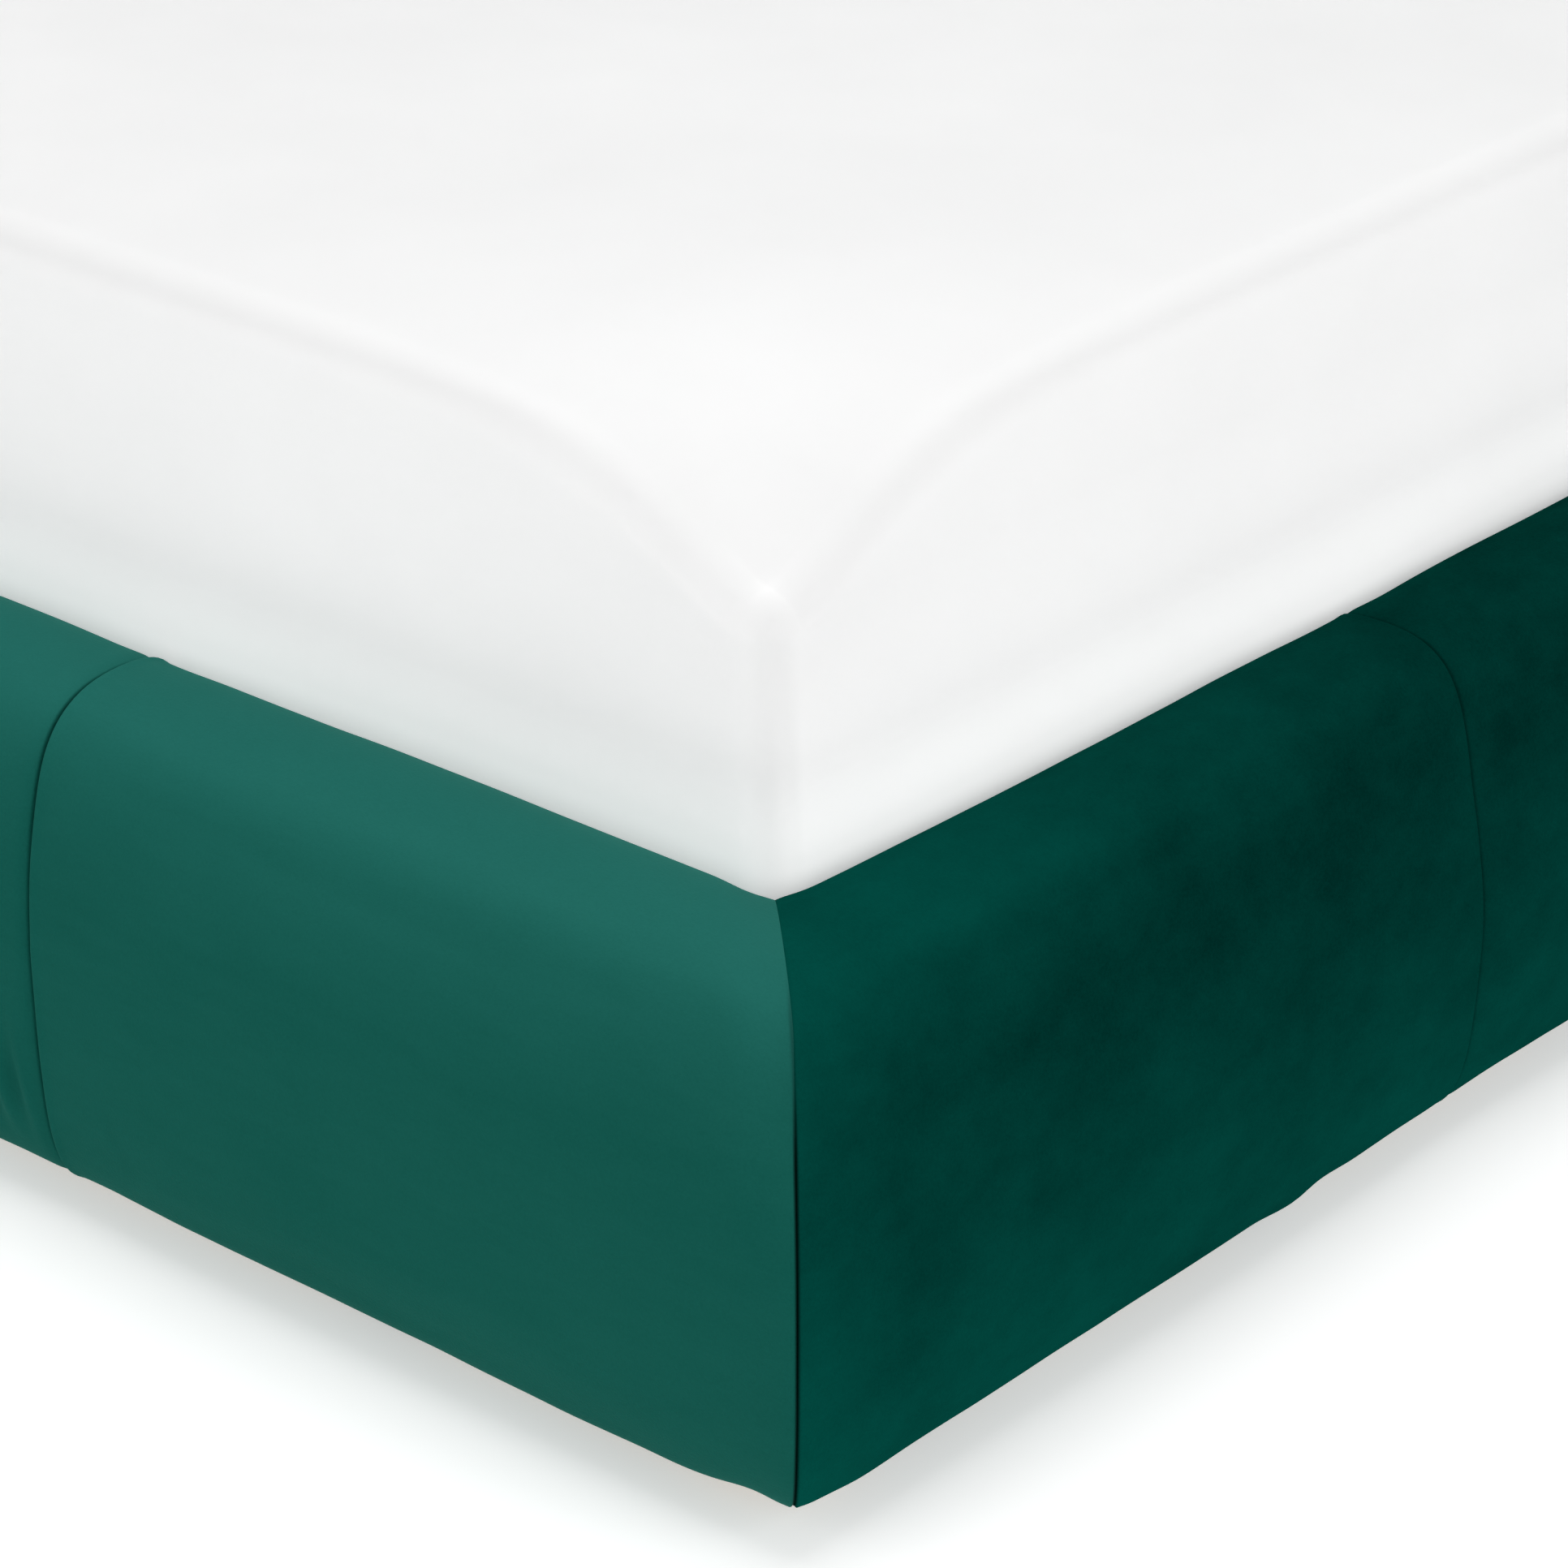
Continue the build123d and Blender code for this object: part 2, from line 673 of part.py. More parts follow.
with BuildPart() as right_bolts:
    for place, outward, length in bolt_runs:
        with BuildSketch(bolt_axis(place, outward, seat)):
            RegularPolygon(bolt_head_radius, 6, major_radius=False)
        extrude(amount=bolt_head)
        with BuildSketch(bolt_axis(place, outward, seat)):
            Circle(bolt_radius)
        extrude(amount=-length)
with BuildPart() as bracket_bolts:
    add(right_bolts.part)
    mirror(about=Plane.YZ)
save(bracket_bolts, "bracket_bolts")

with BuildPart() as right_washers:
    for place, outward, length in bolt_runs:
        with BuildSketch(bolt_axis(place, outward, angle_thickness)):
            Circle(washer_radius)
            Circle(bolt_radius + 0.2, mode=Mode.SUBTRACT)
        extrude(amount=washer_thickness)
with BuildPart() as bracket_washers:
    add(right_washers.part)
    mirror(about=Plane.YZ)
save(bracket_washers, "bracket_washers")

nut_barrel = 12
nut_bore_radius = bolt_radius + 0.05
with BuildPart() as right_nuts:
    for place, outward, length in bolt_runs:
        in_rail = length == short_bolt
        flange_face = -board if in_rail else nut_flange - velvet - headboard_foam_depth
        with BuildSketch(bolt_axis(place, outward, flange_face)):
            Circle(nut_flange_radius)
            Circle(nut_bore_radius, mode=Mode.SUBTRACT)
        extrude(amount=-nut_flange)
        with BuildSketch(bolt_axis(place, outward, flange_face)):
            Circle(bolt_hole_radius)
            Circle(nut_bore_radius, mode=Mode.SUBTRACT)
        extrude(amount=nut_barrel)
with BuildPart() as bracket_t_nuts:
    add(right_nuts.part)
    mirror(about=Plane.YZ)
save(bracket_t_nuts, "bracket_t_nuts")

# ---------------------------------------------------------------- feet
foot_radius = 25
foot_inset = 95  # from the outermost face to the middle of a foot
foot_screw_radius = 2.5
foot_screw_head_radius = 4.5
foot_screw_head = 3
foot_recess = 6
foot_recess_radius = 6
foot_screw_top = 49
foot_places = [(side * (half_width - foot_inset), y) for side in (-1, 1) for y in (-960, -25, 910)]
foot_places += [(side * 560, foot_outer + foot_inset) for side in (-1, 1)]
foot_places += [(x, (frame_front + frame_back) / 2) for x in (-760, 0, 760)]

with BuildPart() as bed_feet:
    with Locations([(x, y, 0) for x, y in foot_places]):
        Cylinder(foot_radius, core_bottom, align=(Align.CENTER, Align.CENTER, Align.MIN))
    floor_rims = bed_feet.edges().filter_by(GeomType.CIRCLE).group_by(Axis.Z)[0]
    chamfer(floor_rims, 2)
    with Locations([(x, y, 0) for x, y in foot_places]):
        Cylinder(foot_screw_radius, 3 * core_bottom, mode=Mode.SUBTRACT)
        Cylinder(foot_recess_radius, 2 * foot_recess, mode=Mode.SUBTRACT)
save(bed_feet, "bed_feet")

with BuildPart() as feet_screws:
    with Locations([(x, y, foot_recess) for x, y in foot_places]):
        Cylinder(
            foot_screw_radius,
            foot_screw_top - foot_recess,
            align=(Align.CENTER, Align.CENTER, Align.MIN),
        )
        Cylinder(
            foot_screw_head_radius, foot_screw_head, align=(Align.CENTER, Align.CENTER, Align.MAX)
        )
save(feet_screws, "feet_screws")

# ---------------------------------------------------------------- mattress and fitted sheet
sheet = 1.5
ticking = 2
base_cloth = 2
mattress_bottom = rail_top - 55
mattress_top = mattress_bottom + mattress_height
corner_radius = 35
top_edge_radius = 40
base_foam_height = 200
sheet_tuck = 100  # the sheet's hem lies this far in under the mattress


def mattress_form(inset, bottom, top, rounded_top=True):
    """The mattress outline set in by inset, between two heights, with an eased top edge."""
    with BuildPart() as form:
        with BuildSketch(Plane((0, mattress_middle, bottom))):
            RectangleRounded(
                mattress_width - 2 * (play + inset),
                mattress_length - 2 * inset,
                corner_radius - inset,
            )
        extrude(amount=top - bottom)
        if rounded_top:
            fillet(form.faces().sort_by(Axis.Z)[-1].edges(), top_edge_radius - inset)
    return form


sheet_outside = mattress_form(0, mattress_bottom, mattress_top)
ticking_outside = mattress_form(sheet, mattress_bottom + sheet, mattress_top - sheet)
skin = sheet + ticking
foam_outside = mattress_form(skin, mattress_bottom + sheet, mattress_top - skin)
foam_bottom = mattress_bottom + sheet + base_cloth

with BuildPart() as fitted_sheet:
    add(sheet_outside.part)
    add(ticking_outside.part, mode=Mode.SUBTRACT)
    with Locations((0, mattress_middle, mattress_bottom)):
        Box(
            mattress_width - 2 * (play + sheet_tuck),
            mattress_length - 2 * sheet_tuck,
            beyond,
            mode=Mode.SUBTRACT,
        )
save(fitted_sheet, "fitted_sheet")

with BuildPart() as mattress_ticking:
    add(ticking_outside.part)
    add(foam_outside.part, mode=Mode.SUBTRACT)
save(mattress_ticking, "mattress_ticking")

save(mattress_form(skin, mattress_bottom + sheet, foam_bottom, False), "mattress_base_cloth")
save(mattress_form(skin, foam_bottom, foam_bottom + base_foam_height, False), "mattress_base_foam")
save(mattress_form(skin, foam_bottom + base_foam_height, mattress_top - skin), "mattress_top_foam")
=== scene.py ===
# %% [markdown]
# # A padded velvet bed, dressed around its frame
# The frame that this lesson loads holds everything hard: boards, battens, slats, bolts and feet, and plain
# solids where the soft things are. Nothing hard is moved here. The velvet, the sheet and the mattress are
# made again as cloth, and every surface gets its finish. The first lines load the frame and set out how to
# read a part's box. The dressed bed must not grow past it.

# %% Load the frame
import math

import bmesh
import bpy
from mathutils import Matrix, Vector, noise


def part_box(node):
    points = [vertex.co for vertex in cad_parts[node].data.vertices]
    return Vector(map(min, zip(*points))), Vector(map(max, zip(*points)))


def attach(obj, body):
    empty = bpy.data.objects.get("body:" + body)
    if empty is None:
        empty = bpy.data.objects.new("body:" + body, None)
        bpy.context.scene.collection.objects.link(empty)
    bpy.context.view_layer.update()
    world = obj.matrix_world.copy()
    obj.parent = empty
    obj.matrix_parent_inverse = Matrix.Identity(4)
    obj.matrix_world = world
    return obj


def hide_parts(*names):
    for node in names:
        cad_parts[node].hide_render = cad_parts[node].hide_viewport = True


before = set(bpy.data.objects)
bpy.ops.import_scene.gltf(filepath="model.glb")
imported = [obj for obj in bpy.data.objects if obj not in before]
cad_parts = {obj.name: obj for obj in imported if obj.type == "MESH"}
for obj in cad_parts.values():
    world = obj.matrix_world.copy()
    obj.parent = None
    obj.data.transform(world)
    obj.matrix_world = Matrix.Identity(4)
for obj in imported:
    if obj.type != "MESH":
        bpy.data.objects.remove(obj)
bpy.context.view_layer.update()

MM = 0.001

# %% [markdown]
# Every place comes from the frame's own boxes, so the cloth always fits the boards under it. The rails are
# all made to one section, and the foot rail's middle cover gives its thickness, its height and its joins.

# %% Places
foot_low, foot_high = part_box("foot_rail_cover_centre")
middle_low, middle_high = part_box("side_rail_cover_middle_right")
panel_low, panel_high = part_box("headboard_cover_centre")
sheet_low, sheet_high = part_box("fitted_sheet")
cloth_low, cloth_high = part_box("headboard_back_cloth")

half_width = middle_high.x
foot_face = foot_low.y
rail_foot = foot_low.z
rail_height = 0.330
rail_top = rail_foot + rail_height
foot_seam = foot_high.x
side_seams = (middle_low.y, middle_high.y)
headboard_face = panel_low.y
mattress_middle = (sheet_low + sheet_high) / 2
print("rails", round(foot_high.y - foot_low.y, 3), "m thick, joins at", [round(y, 3) for y in side_seams])

# %% [markdown]
# The camera stands off the bed's foot corner, well back and with a long lens, so that upright edges stay
# nearly parallel. It is made first, because everything after it is judged through it.

# %% Camera
scene = bpy.context.scene
camera_data = bpy.data.cameras.new("camera")
camera_data.sensor_width = 36
camera_data.lens = 120.1
camera = bpy.data.objects.new("camera", camera_data)
camera.location = (2.511, -2.982, 1.660)
camera.rotation_euler = (math.radians(64.46), 0, math.radians(40.79))
scene.collection.objects.link(camera)
scene.camera = camera
scene.view_settings.view_transform = "Standard"

# %% [markdown]
# A white studio: the sky is a wall of paper that looks brighter than it lights, large soft panels off the
# foot and off the side keep the upright faces as light as the top, and the floor is so pale that only the
# bed's own shadow shows.

# %% Studio
world = bpy.data.worlds.new("studio")
scene.world = world
world.use_nodes = True
sky = world.node_tree
sky.nodes["Background"].inputs["Color"].default_value = (1, 1, 1, 1)
seen = sky.nodes.new("ShaderNodeLightPath")
strength = sky.nodes.new("ShaderNodeMapRange")
strength.inputs["To Min"].default_value = 0.38
strength.inputs["To Max"].default_value = 1.0
sky.links.new(seen.outputs["Is Camera Ray"], strength.inputs["Value"])
sky.links.new(strength.outputs["Result"], sky.nodes["Background"].inputs["Strength"])


def soft_light(name, size, power, place, aim):
    """A square panel of light at a place, turned towards a point."""
    data = bpy.data.lights.new(name, "AREA")
    data.size = size
    data.energy = power
    light = bpy.data.objects.new(name, data)
    light.location = place
    light.rotation_euler = (Vector(aim) - Vector(place)).to_track_quat("-Z", "Y").to_euler()
    scene.collection.objects.link(light)


soft_light("foot_light", 3.0, 47, (-0.8, -4.6, 1.9), (0.2, -1, 0.4))
soft_light("side_light", 3.0, 73, (4.8, -0.9, 1.9), (0.9, -0.3, 0.4))
soft_light("top_light", 4.0, 105, (0.3, -0.6, 4.6), (0.3, -0.4, 0.6))

# %% [markdown]
# A finish is a shader that is worked out like a sum. `Value` wraps one socket, and adding or multiplying
# two of them adds the Math node that does it, so a pattern reads as a formula. Colours go through a Mix,
# since a Math node would turn them grey.

# %% Shader sums


class Value:
    """A number that changes over a surface."""

    def __init__(self, finish, socket):
        self.finish = finish
        self.socket = socket

    def math(self, operation, first, second=None):
        sockets = {0: first} if second is None else {0: first, 1: second}
        return self.finish.value("Math", {"operation": operation}, sockets)

    def __add__(self, other):
        return self.math("ADD", self, other)

    def __sub__(self, other):
        return self.math("SUBTRACT", self, other)

    def __rsub__(self, other):
        return self.math("SUBTRACT", other, self)

    def __mul__(self, other):
        return self.math("MULTIPLY", self, other)

    __radd__ = __add__
    __rmul__ = __mul__

    def sine(self):
        return self.math("SINE", self)


class Finish:
    """One material: its fixed values are given at once, its patterns are linked afterwards."""

    def __init__(self, name, **fixed):
        self.material = bpy.data.materials.new(name)
        self.material.use_nodes = True
        self.tree = self.material.node_tree
        self.shader = self.tree.nodes["Principled BSDF"]
        for key, value in fixed.items():
            self.shader.inputs[key.replace("_", " ").title().replace("Ior", "IOR")].default_value = value

    def node(self, kind, settings, sockets):
        """Adds a node: its settings are set first, then its sockets are given values or links."""
        node = self.tree.nodes.new("ShaderNode" + kind)
        for key, value in settings.items():
            if key == "stops":
                for element, (position, shade) in zip(node.color_ramp.elements, value):
                    element.position = position
                    element.color = (shade, shade, shade, 1)
            else:
                setattr(node, key, value)
        for key, value in sockets.items():
            if isinstance(value, Value):
                self.tree.links.new(value.socket, node.inputs[key])
            elif isinstance(value, bpy.types.NodeSocket):
                self.tree.links.new(value, node.inputs[key])
            else:
                node.inputs[key].default_value = value
        return node

    def value(self, kind, settings, sockets, output=0):
        return Value(self, self.node(kind, settings, sockets).outputs[output])

    def place(self, source="Object", scale=(1, 1, 1)):
        """Coordinates for a pattern, stretched by scale."""
        coordinates = self.node("TexCoord", {}, {}).outputs[source]
        return self.node("Mapping", {}, {"Vector": coordinates, "Scale": scale}).outputs["Vector"]

    def cloud(self, place, scale, detail=2.0, roughness=0.5):
        """Soft noise from 0 to 1."""
        sockets = {"Vector": place, "Scale": scale, "Detail": detail, "Roughness": roughness}
        return self.value("TexNoise", {}, sockets)

    def spread(self, value, low, high):
        """Pulls the part of a value between low and high out to 0 and 1."""
        return self.value("ValToRGB", {"stops": [(low, 0), (high, 1)]}, {0: value})

    def mix(self, share, first, second):
        """A colour between two, by a value."""
        sockets = {0: share, 6: first, 7: second}
        return self.node("Mix", {"data_type": "RGBA"}, sockets).outputs[2]

    def set(self, name, value):
        socket = value.socket if isinstance(value, Value) else value
        self.tree.links.new(socket, self.shader.inputs[name])

    def bump(self, height, distance, strength):
        sockets = {"Height": height, "Distance": distance, "Strength": strength}
        self.set("Normal", self.node("Bump", {}, sockets).outputs["Normal"])


def colour(red, green, blue):
    """A colour given as the eye reads it, 0 to 255, turned into light."""
    shades = [c / 255 for c in (red, green, blue)]
    return tuple(c / 12.92 if c <= 0.04045 else ((c + 0.055) / 1.055) ** 2.4 for c in shades) + (1,)


# %% [markdown]
# Velvet is a pile of short upright fibres. Seen straight on it is deep and dark, because the eye looks
# between the fibres, and at a slant their sides catch the light: the shader's sheen does that. Where a
# hand has brushed the pile the other way it is a little lighter or darker, in soft clouds a hand wide.
# In a seam the base colour is darkened, partly for pile pressed shut and partly as painted shade in the
# groove: each panel says where, in an attribute of its points.
# The same cloth is made as a lit copy for the foot rail and a darker copy, painted shade, for the side
# rails. The crest of each rail gets a painted highlight in the base colour, and the side rails get painted
# shade under it and painted bounce light lower down.

# %% Velvet


def velvet(name, deep, bright, level, clouds, mottle, lie, sheen, gloss):
    """Cut velvet between two depths of colour: clouds are a hand wide, the mottle a finger wide.
    lie stretches the mottle the way the pile lies."""
    finish = Finish(
        name, roughness=0.85, specular_ior_level=gloss, sheen_weight=sheen, sheen_roughness=0.35,
        sheen_tint=colour(50, 205, 180),
    )
    place = finish.place()
    brushed = finish.cloud(place, 7, 3.0, 0.5)
    patches = finish.cloud(finish.place(scale=lie), 34, 4.0, 0.68)
    pile = finish.cloud(place, 520, 2.0, 0.7)
    facing = finish.node("TexCoord", {}, {}).outputs["Normal"]
    # Painted highlight mask: the crest is where the cloth faces up, and level turns it into painted light
    # and shade in the base colour.
    crest_highlight = finish.spread(finish.value("SeparateXYZ", {}, {0: facing}, 2), 0.12, 0.85)
    depth = level(finish, crest_highlight) + (brushed - 0.5) * clouds + (patches - 0.5) * mottle + (pile - 0.5) * 0.3
    # Seam attribute: darkens the base colour towards a near black, partly pressed pile and partly painted
    # shade in the seam's groove.
    seam = finish.value("Attribute", {"attribute_name": "seam"}, {}, 2)
    finish.set("Base Color", finish.mix(seam, finish.mix(depth, deep, bright), colour(0, 14, 11)))
    finish.set("Roughness", 0.78 + pile * 0.2)
    finish.bump(pile + patches * 1.2, 0.0006, 0.5)
    return finish.material


def foot_painted_light(finish, crest_highlight):
    """Painted light: even on the face, with a painted highlight over the crest."""
    return crest_highlight * 0.68 + 0.25


def side_painted_shade(finish, crest_highlight):
    """Painted light and shade: painted shade under the crest, painted bounce light towards the floor and
    beside the corner, and a painted highlight on the crest that fades away from the corner.
    """
    height = finish.value("SeparateXYZ", {}, {0: finish.place()}, 2)
    along = finish.value("SeparateXYZ", {}, {0: finish.place()}, 1) - foot_face
    low = 1 - finish.spread(height, 0.05, 0.27)
    corner = 1 - finish.spread(along, 0.01, 0.10)
    away = finish.spread(along, 0.15, 0.62)
    rolled = crest_highlight * (0.62 - corner * 0.22 - away * 0.42)
    return rolled + low * 0.46 + corner * 0.27 - away * 0.06 + 0.12


def headboard_painted_light(finish, crest_highlight):
    # Painted highlight over the crest.
    return crest_highlight * 0.4 + 0.35


# Lit and shaded copies of one velvet: the foot rail's copy is the lit one, and the side rails' copy is
# darker, painted shade, with less sheen and gloss. The headboard's copy lies between.
lit_foot_velvet = velvet(
    "velvet_foot_lit", colour(0, 72, 62), colour(30, 101, 92), foot_painted_light, 0.16, 0.16, (0.45, 1, 2.2), 0.08, 0.05
)
shaded_side_velvet = velvet(
    "velvet_side_shaded", colour(0, 36, 31), colour(3, 75, 66), side_painted_shade, 0.5, 0.42, (1, 0.65, 0.95), 0.03, 0.0
)
headboard_velvet = velvet(
    "velvet_headboard", colour(0, 56, 48), colour(18, 92, 81), headboard_painted_light, 0.4, 0.3, (1, 1, 0.8),
    0.08, 0.05,
)

# %% [markdown]
# Cotton sheeting is plain woven. From a step away only its softness shows, and very faint creases where
# it was folded in its packet. Its threads are a bump too fine to see singly.

# %% Cotton, ticking and back cloth


def woven(name, pale, dark, threads, roughness, crease, shade=None):
    """A plain weave: two sets of threads crossing on the cloth's own UV map, in metres."""
    finish = Finish(name, roughness=roughness, specular_ior_level=0.2, sheen_weight=0.12)
    warp = finish.value("SeparateXYZ", {}, {0: finish.place("UV", (threads, threads, 1))}, 0).sine()
    weft = finish.value("SeparateXYZ", {}, {0: finish.place("UV", (threads, threads, 1))}, 1).sine()
    soft = finish.cloud(finish.place(), 3.0, 3.0, 0.6)
    tone = soft * 0.4 + (warp * weft) * 0.05
    finish.set("Base Color", finish.mix(tone + shade(finish) if shade else tone + 0.2, pale, dark))
    folds = finish.cloud(finish.place(scale=(1, 1, 0.35)), 9, 3.0, 0.55)
    finish.bump(warp * weft * 0.008 + folds * crease, 0.004, 0.6)
    return finish.material


thread_spacing = 0.45 * MM


def sheet_painted_light(finish):
    """Painted light on the sheet: it glows a little all over and most low down, where the rails shade it.
    Its base colour is paler low down and darker higher up, and painted shade greys its upper sides and
    rolled edges against its top."""
    height = finish.value("SeparateXYZ", {}, {0: finish.place()}, 2)
    clear_of_rails = {"Value": height, "From Min": 0.335, "From Max": 0.415}
    shaded = finish.value("MapRange", {"interpolation_type": "SMOOTHSTEP"}, clear_of_rails)
    # Painted light: a glow from the sheet itself, strongest just above the rails.
    finish.set("Emission Color", finish.mix(shaded, colour(162, 162, 162), colour(32, 32, 32)))
    finish.shader.inputs["Emission Strength"].default_value = 1.0
    way = finish.node("SeparateXYZ", {}, {0: finish.node("TexCoord", {}, {}).outputs["Normal"]})
    across, along, up = [Value(finish, way.outputs[axis]) for axis in range(3)]
    across, along, up = [turned * turned * turned * turned for turned in (across, along, up)]
    rolled = (1 - across - along - up) * 0.72
    sides = (across * 0.34 + along * 0.15) * finish.spread(height, 0.39, 0.50)
    return finish.spread(height, 0.33, 0.62) * 0.21 + rolled + sides


cotton = woven(
    "white_cotton", colour(254, 254, 254), colour(224, 224, 224), math.tau / thread_spacing, 0.8, 0.5, sheet_painted_light
)
ticking = woven("ticking", colour(232, 230, 226), colour(214, 211, 205), math.tau / (1.1 * MM), 0.85, 0.3)
back_cloth = woven("back_cloth", colour(38, 38, 40), colour(24, 24, 26), math.tau / (0.9 * MM), 0.9, 0.8)

# %% [markdown]
# Timber is sawn along its grain, so its pattern is noise drawn out long one way. The same finish does for
# boards, beams and slats, stretched so that its grain runs along each piece.

# %% Timber, plastic and metal


def timber(name, pale, dark, grain, figure):
    """Wood with its grain along one axis. grain is the stretch of the pattern along X, Y and Z."""
    finish = Finish(name, roughness=0.55, specular_ior_level=0.3)
    bands = finish.cloud(finish.place(scale=grain), figure, 5.0, 0.62)
    fibres = finish.cloud(finish.place(scale=[g * 6 for g in grain]), figure, 2.0, 0.6)
    finish.set("Base Color", finish.mix(finish.spread(bands * 0.8 + fibres * 0.2, 0.35, 0.65), pale, dark))
    finish.set("Roughness", 0.5 + bands * 0.2)
    finish.bump(fibres, 0.0005, 0.35)
    return finish.material


def moulded(name, shade, roughness, metallic=0.0):
    """A grained or plated surface: tiny pits, slightly uneven gloss."""
    finish = Finish(name, metallic=metallic, base_color=shade)
    pits = finish.cloud(finish.place(), 900, 2.0, 0.5)
    worn = finish.cloud(finish.place(), 14, 3.0, 0.6)
    finish.set("Roughness", roughness + worn * 0.15 + pits * 0.05)
    finish.bump(pits, 0.00015, 0.3)
    return finish.material


pale_wood, dark_wood = colour(214, 180, 128), colour(176, 134, 84)
along_x, along_y, along_z = (1, 14, 14), (14, 1, 14), (14, 14, 1)
birch = timber("birch_slat", colour(226, 197, 150), colour(196, 158, 108), along_x, 3.0)
pine_y = timber("pine_lengthwise", pale_wood, dark_wood, along_y, 3.5)
pine_x = timber("pine_across", pale_wood, dark_wood, along_x, 3.5)
pine_z = timber("pine_upright", pale_wood, dark_wood, along_z, 3.5)
ply_y = timber("plywood_lengthwise", colour(205, 172, 126), colour(160, 122, 80), along_y, 5.0)
ply_x = timber("plywood_across", colour(205, 172, 126), colour(160, 122, 80), along_x, 5.0)
black_plastic = moulded("black_plastic", colour(26, 26, 27), 0.45)
black_steel = moulded("black_steel", colour(34, 34, 36), 0.38, 0.3)
zinc = moulded("zinc_plate", colour(196, 198, 196), 0.28, 1.0)

# %% [markdown]
# The CAD nodes that stay in sight are already the right shape. Each takes a finish by what it is.

# %% Finish the hard parts
finish_of = {
    "slats": birch, "slat_caps": black_plastic, "bed_feet": black_plastic, "centre_beam": pine_y,
    "ledger_": pine_y, "beam_legs": pine_z, "side_rail_battens": pine_y, "foot_rail_battens": pine_x,
    "side_rail_boards": ply_y, "foot_rail_boards": ply_x, "side_rail_spacers": ply_y,
    "foot_rail_spacers": ply_x, "headboard_posts": pine_z, "headboard_cross_rails": pine_x,
    "headboard_face_board": ply_x, "headboard_mounting_blocks": ply_x, "brackets": black_steel,
    "hangers": black_steel, "screws": zinc, "bolts": zinc, "washers": zinc, "nuts": zinc,
    "levelling_foot": zinc,
}


def dress(node, material):
    """Gives one CAD node its finish, on every slot that it has."""
    slots = node.material_slots
    if not slots:
        node.data.materials.append(material)
    for slot in slots:
        slot.material = material


for name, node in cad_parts.items():
    for part, material in finish_of.items():
        if part in name:
            dress(node, material)

# %% [markdown]
# Upholstery velvet is cut flat, wrapped over the foam and stapled to the boards, so each panel starts here
# as a flat grid. The grid is then laid on the rail: one of its directions runs along the rail, the other
# round its section, from the staples inside, over the top, down the face and under. The section is a
# curve through a few points, since foam has no corners.

# %% The rail's section
section_points = [
    (128, -92), (129.5, -50), (129, -22), (126, -9), (119, -2), (106, 2), (88, 3), (66, 1), (47, -6),
    (31, -20), (19, -44), (9, -86), (2, -135), (0, -183), (1, -232), (4, -270), (9, -298), (17, -317),
    (29, -328), (46, -332), (62, -333),
]


def smooth(points, count):
    """Evenly spaced points along a rounded curve through the given ones."""
    ends = [points[0] * 2 - points[1]] + points + [points[-1] * 2 - points[-2]]
    fine = []
    for before, first, second, after in zip(ends, ends[1:], ends[2:], ends[3:]):
        for step in range(20):
            x = step / 20
            fine.append(0.5 * (
                first * 2 + (second - before) * x + (before * 2 - first * 5 + second * 4 - after) * x**2
                + (first * 3 - before - second * 3 + after) * x**3
            ))
    fine.append(points[-1])
    lengths = [0]
    for here, there in zip(fine, fine[1:]):
        lengths.append(lengths[-1] + (there - here).length)
    spaced, k = [], 0
    for i in range(count):
        wanted = lengths[-1] * i / (count - 1)
        while k < len(fine) - 2 and lengths[k + 1] < wanted:
            k += 1
        share = (wanted - lengths[k]) / max(lengths[k + 1] - lengths[k], 1e-9)
        spaced.append(fine[k].lerp(fine[k + 1], min(share, 1)))
    return spaced, lengths[-1]


section, section_length = smooth([Vector(p) * MM for p in section_points], 400)
print("the velvet goes", round(section_length, 3), "m round a rail")

# %% [markdown]
# A panel remembers, for every point of its cloth, which way is out, how far it is from each join, how far
# round the rail it lies and how deep inside. The later steps use those: near a join the cloth dips into
# the seam.

# %% A panel laid on a rail


def bell(x, width):
    """1 at nought, falling smoothly to nothing past width."""
    return math.exp(-((x / width) ** 2))


def ramp(x, low, high):
    """0 below low, 1 above high, and smooth between."""
    x = min(max((x - low) / (high - low), 0), 1)
    return x * x * (3 - 2 * x)


rows_round = 76


def crowded(u):
    """Spreads columns so that they crowd together towards both joins."""
    return u - 0.9 * math.sin(math.tau * u) / math.tau


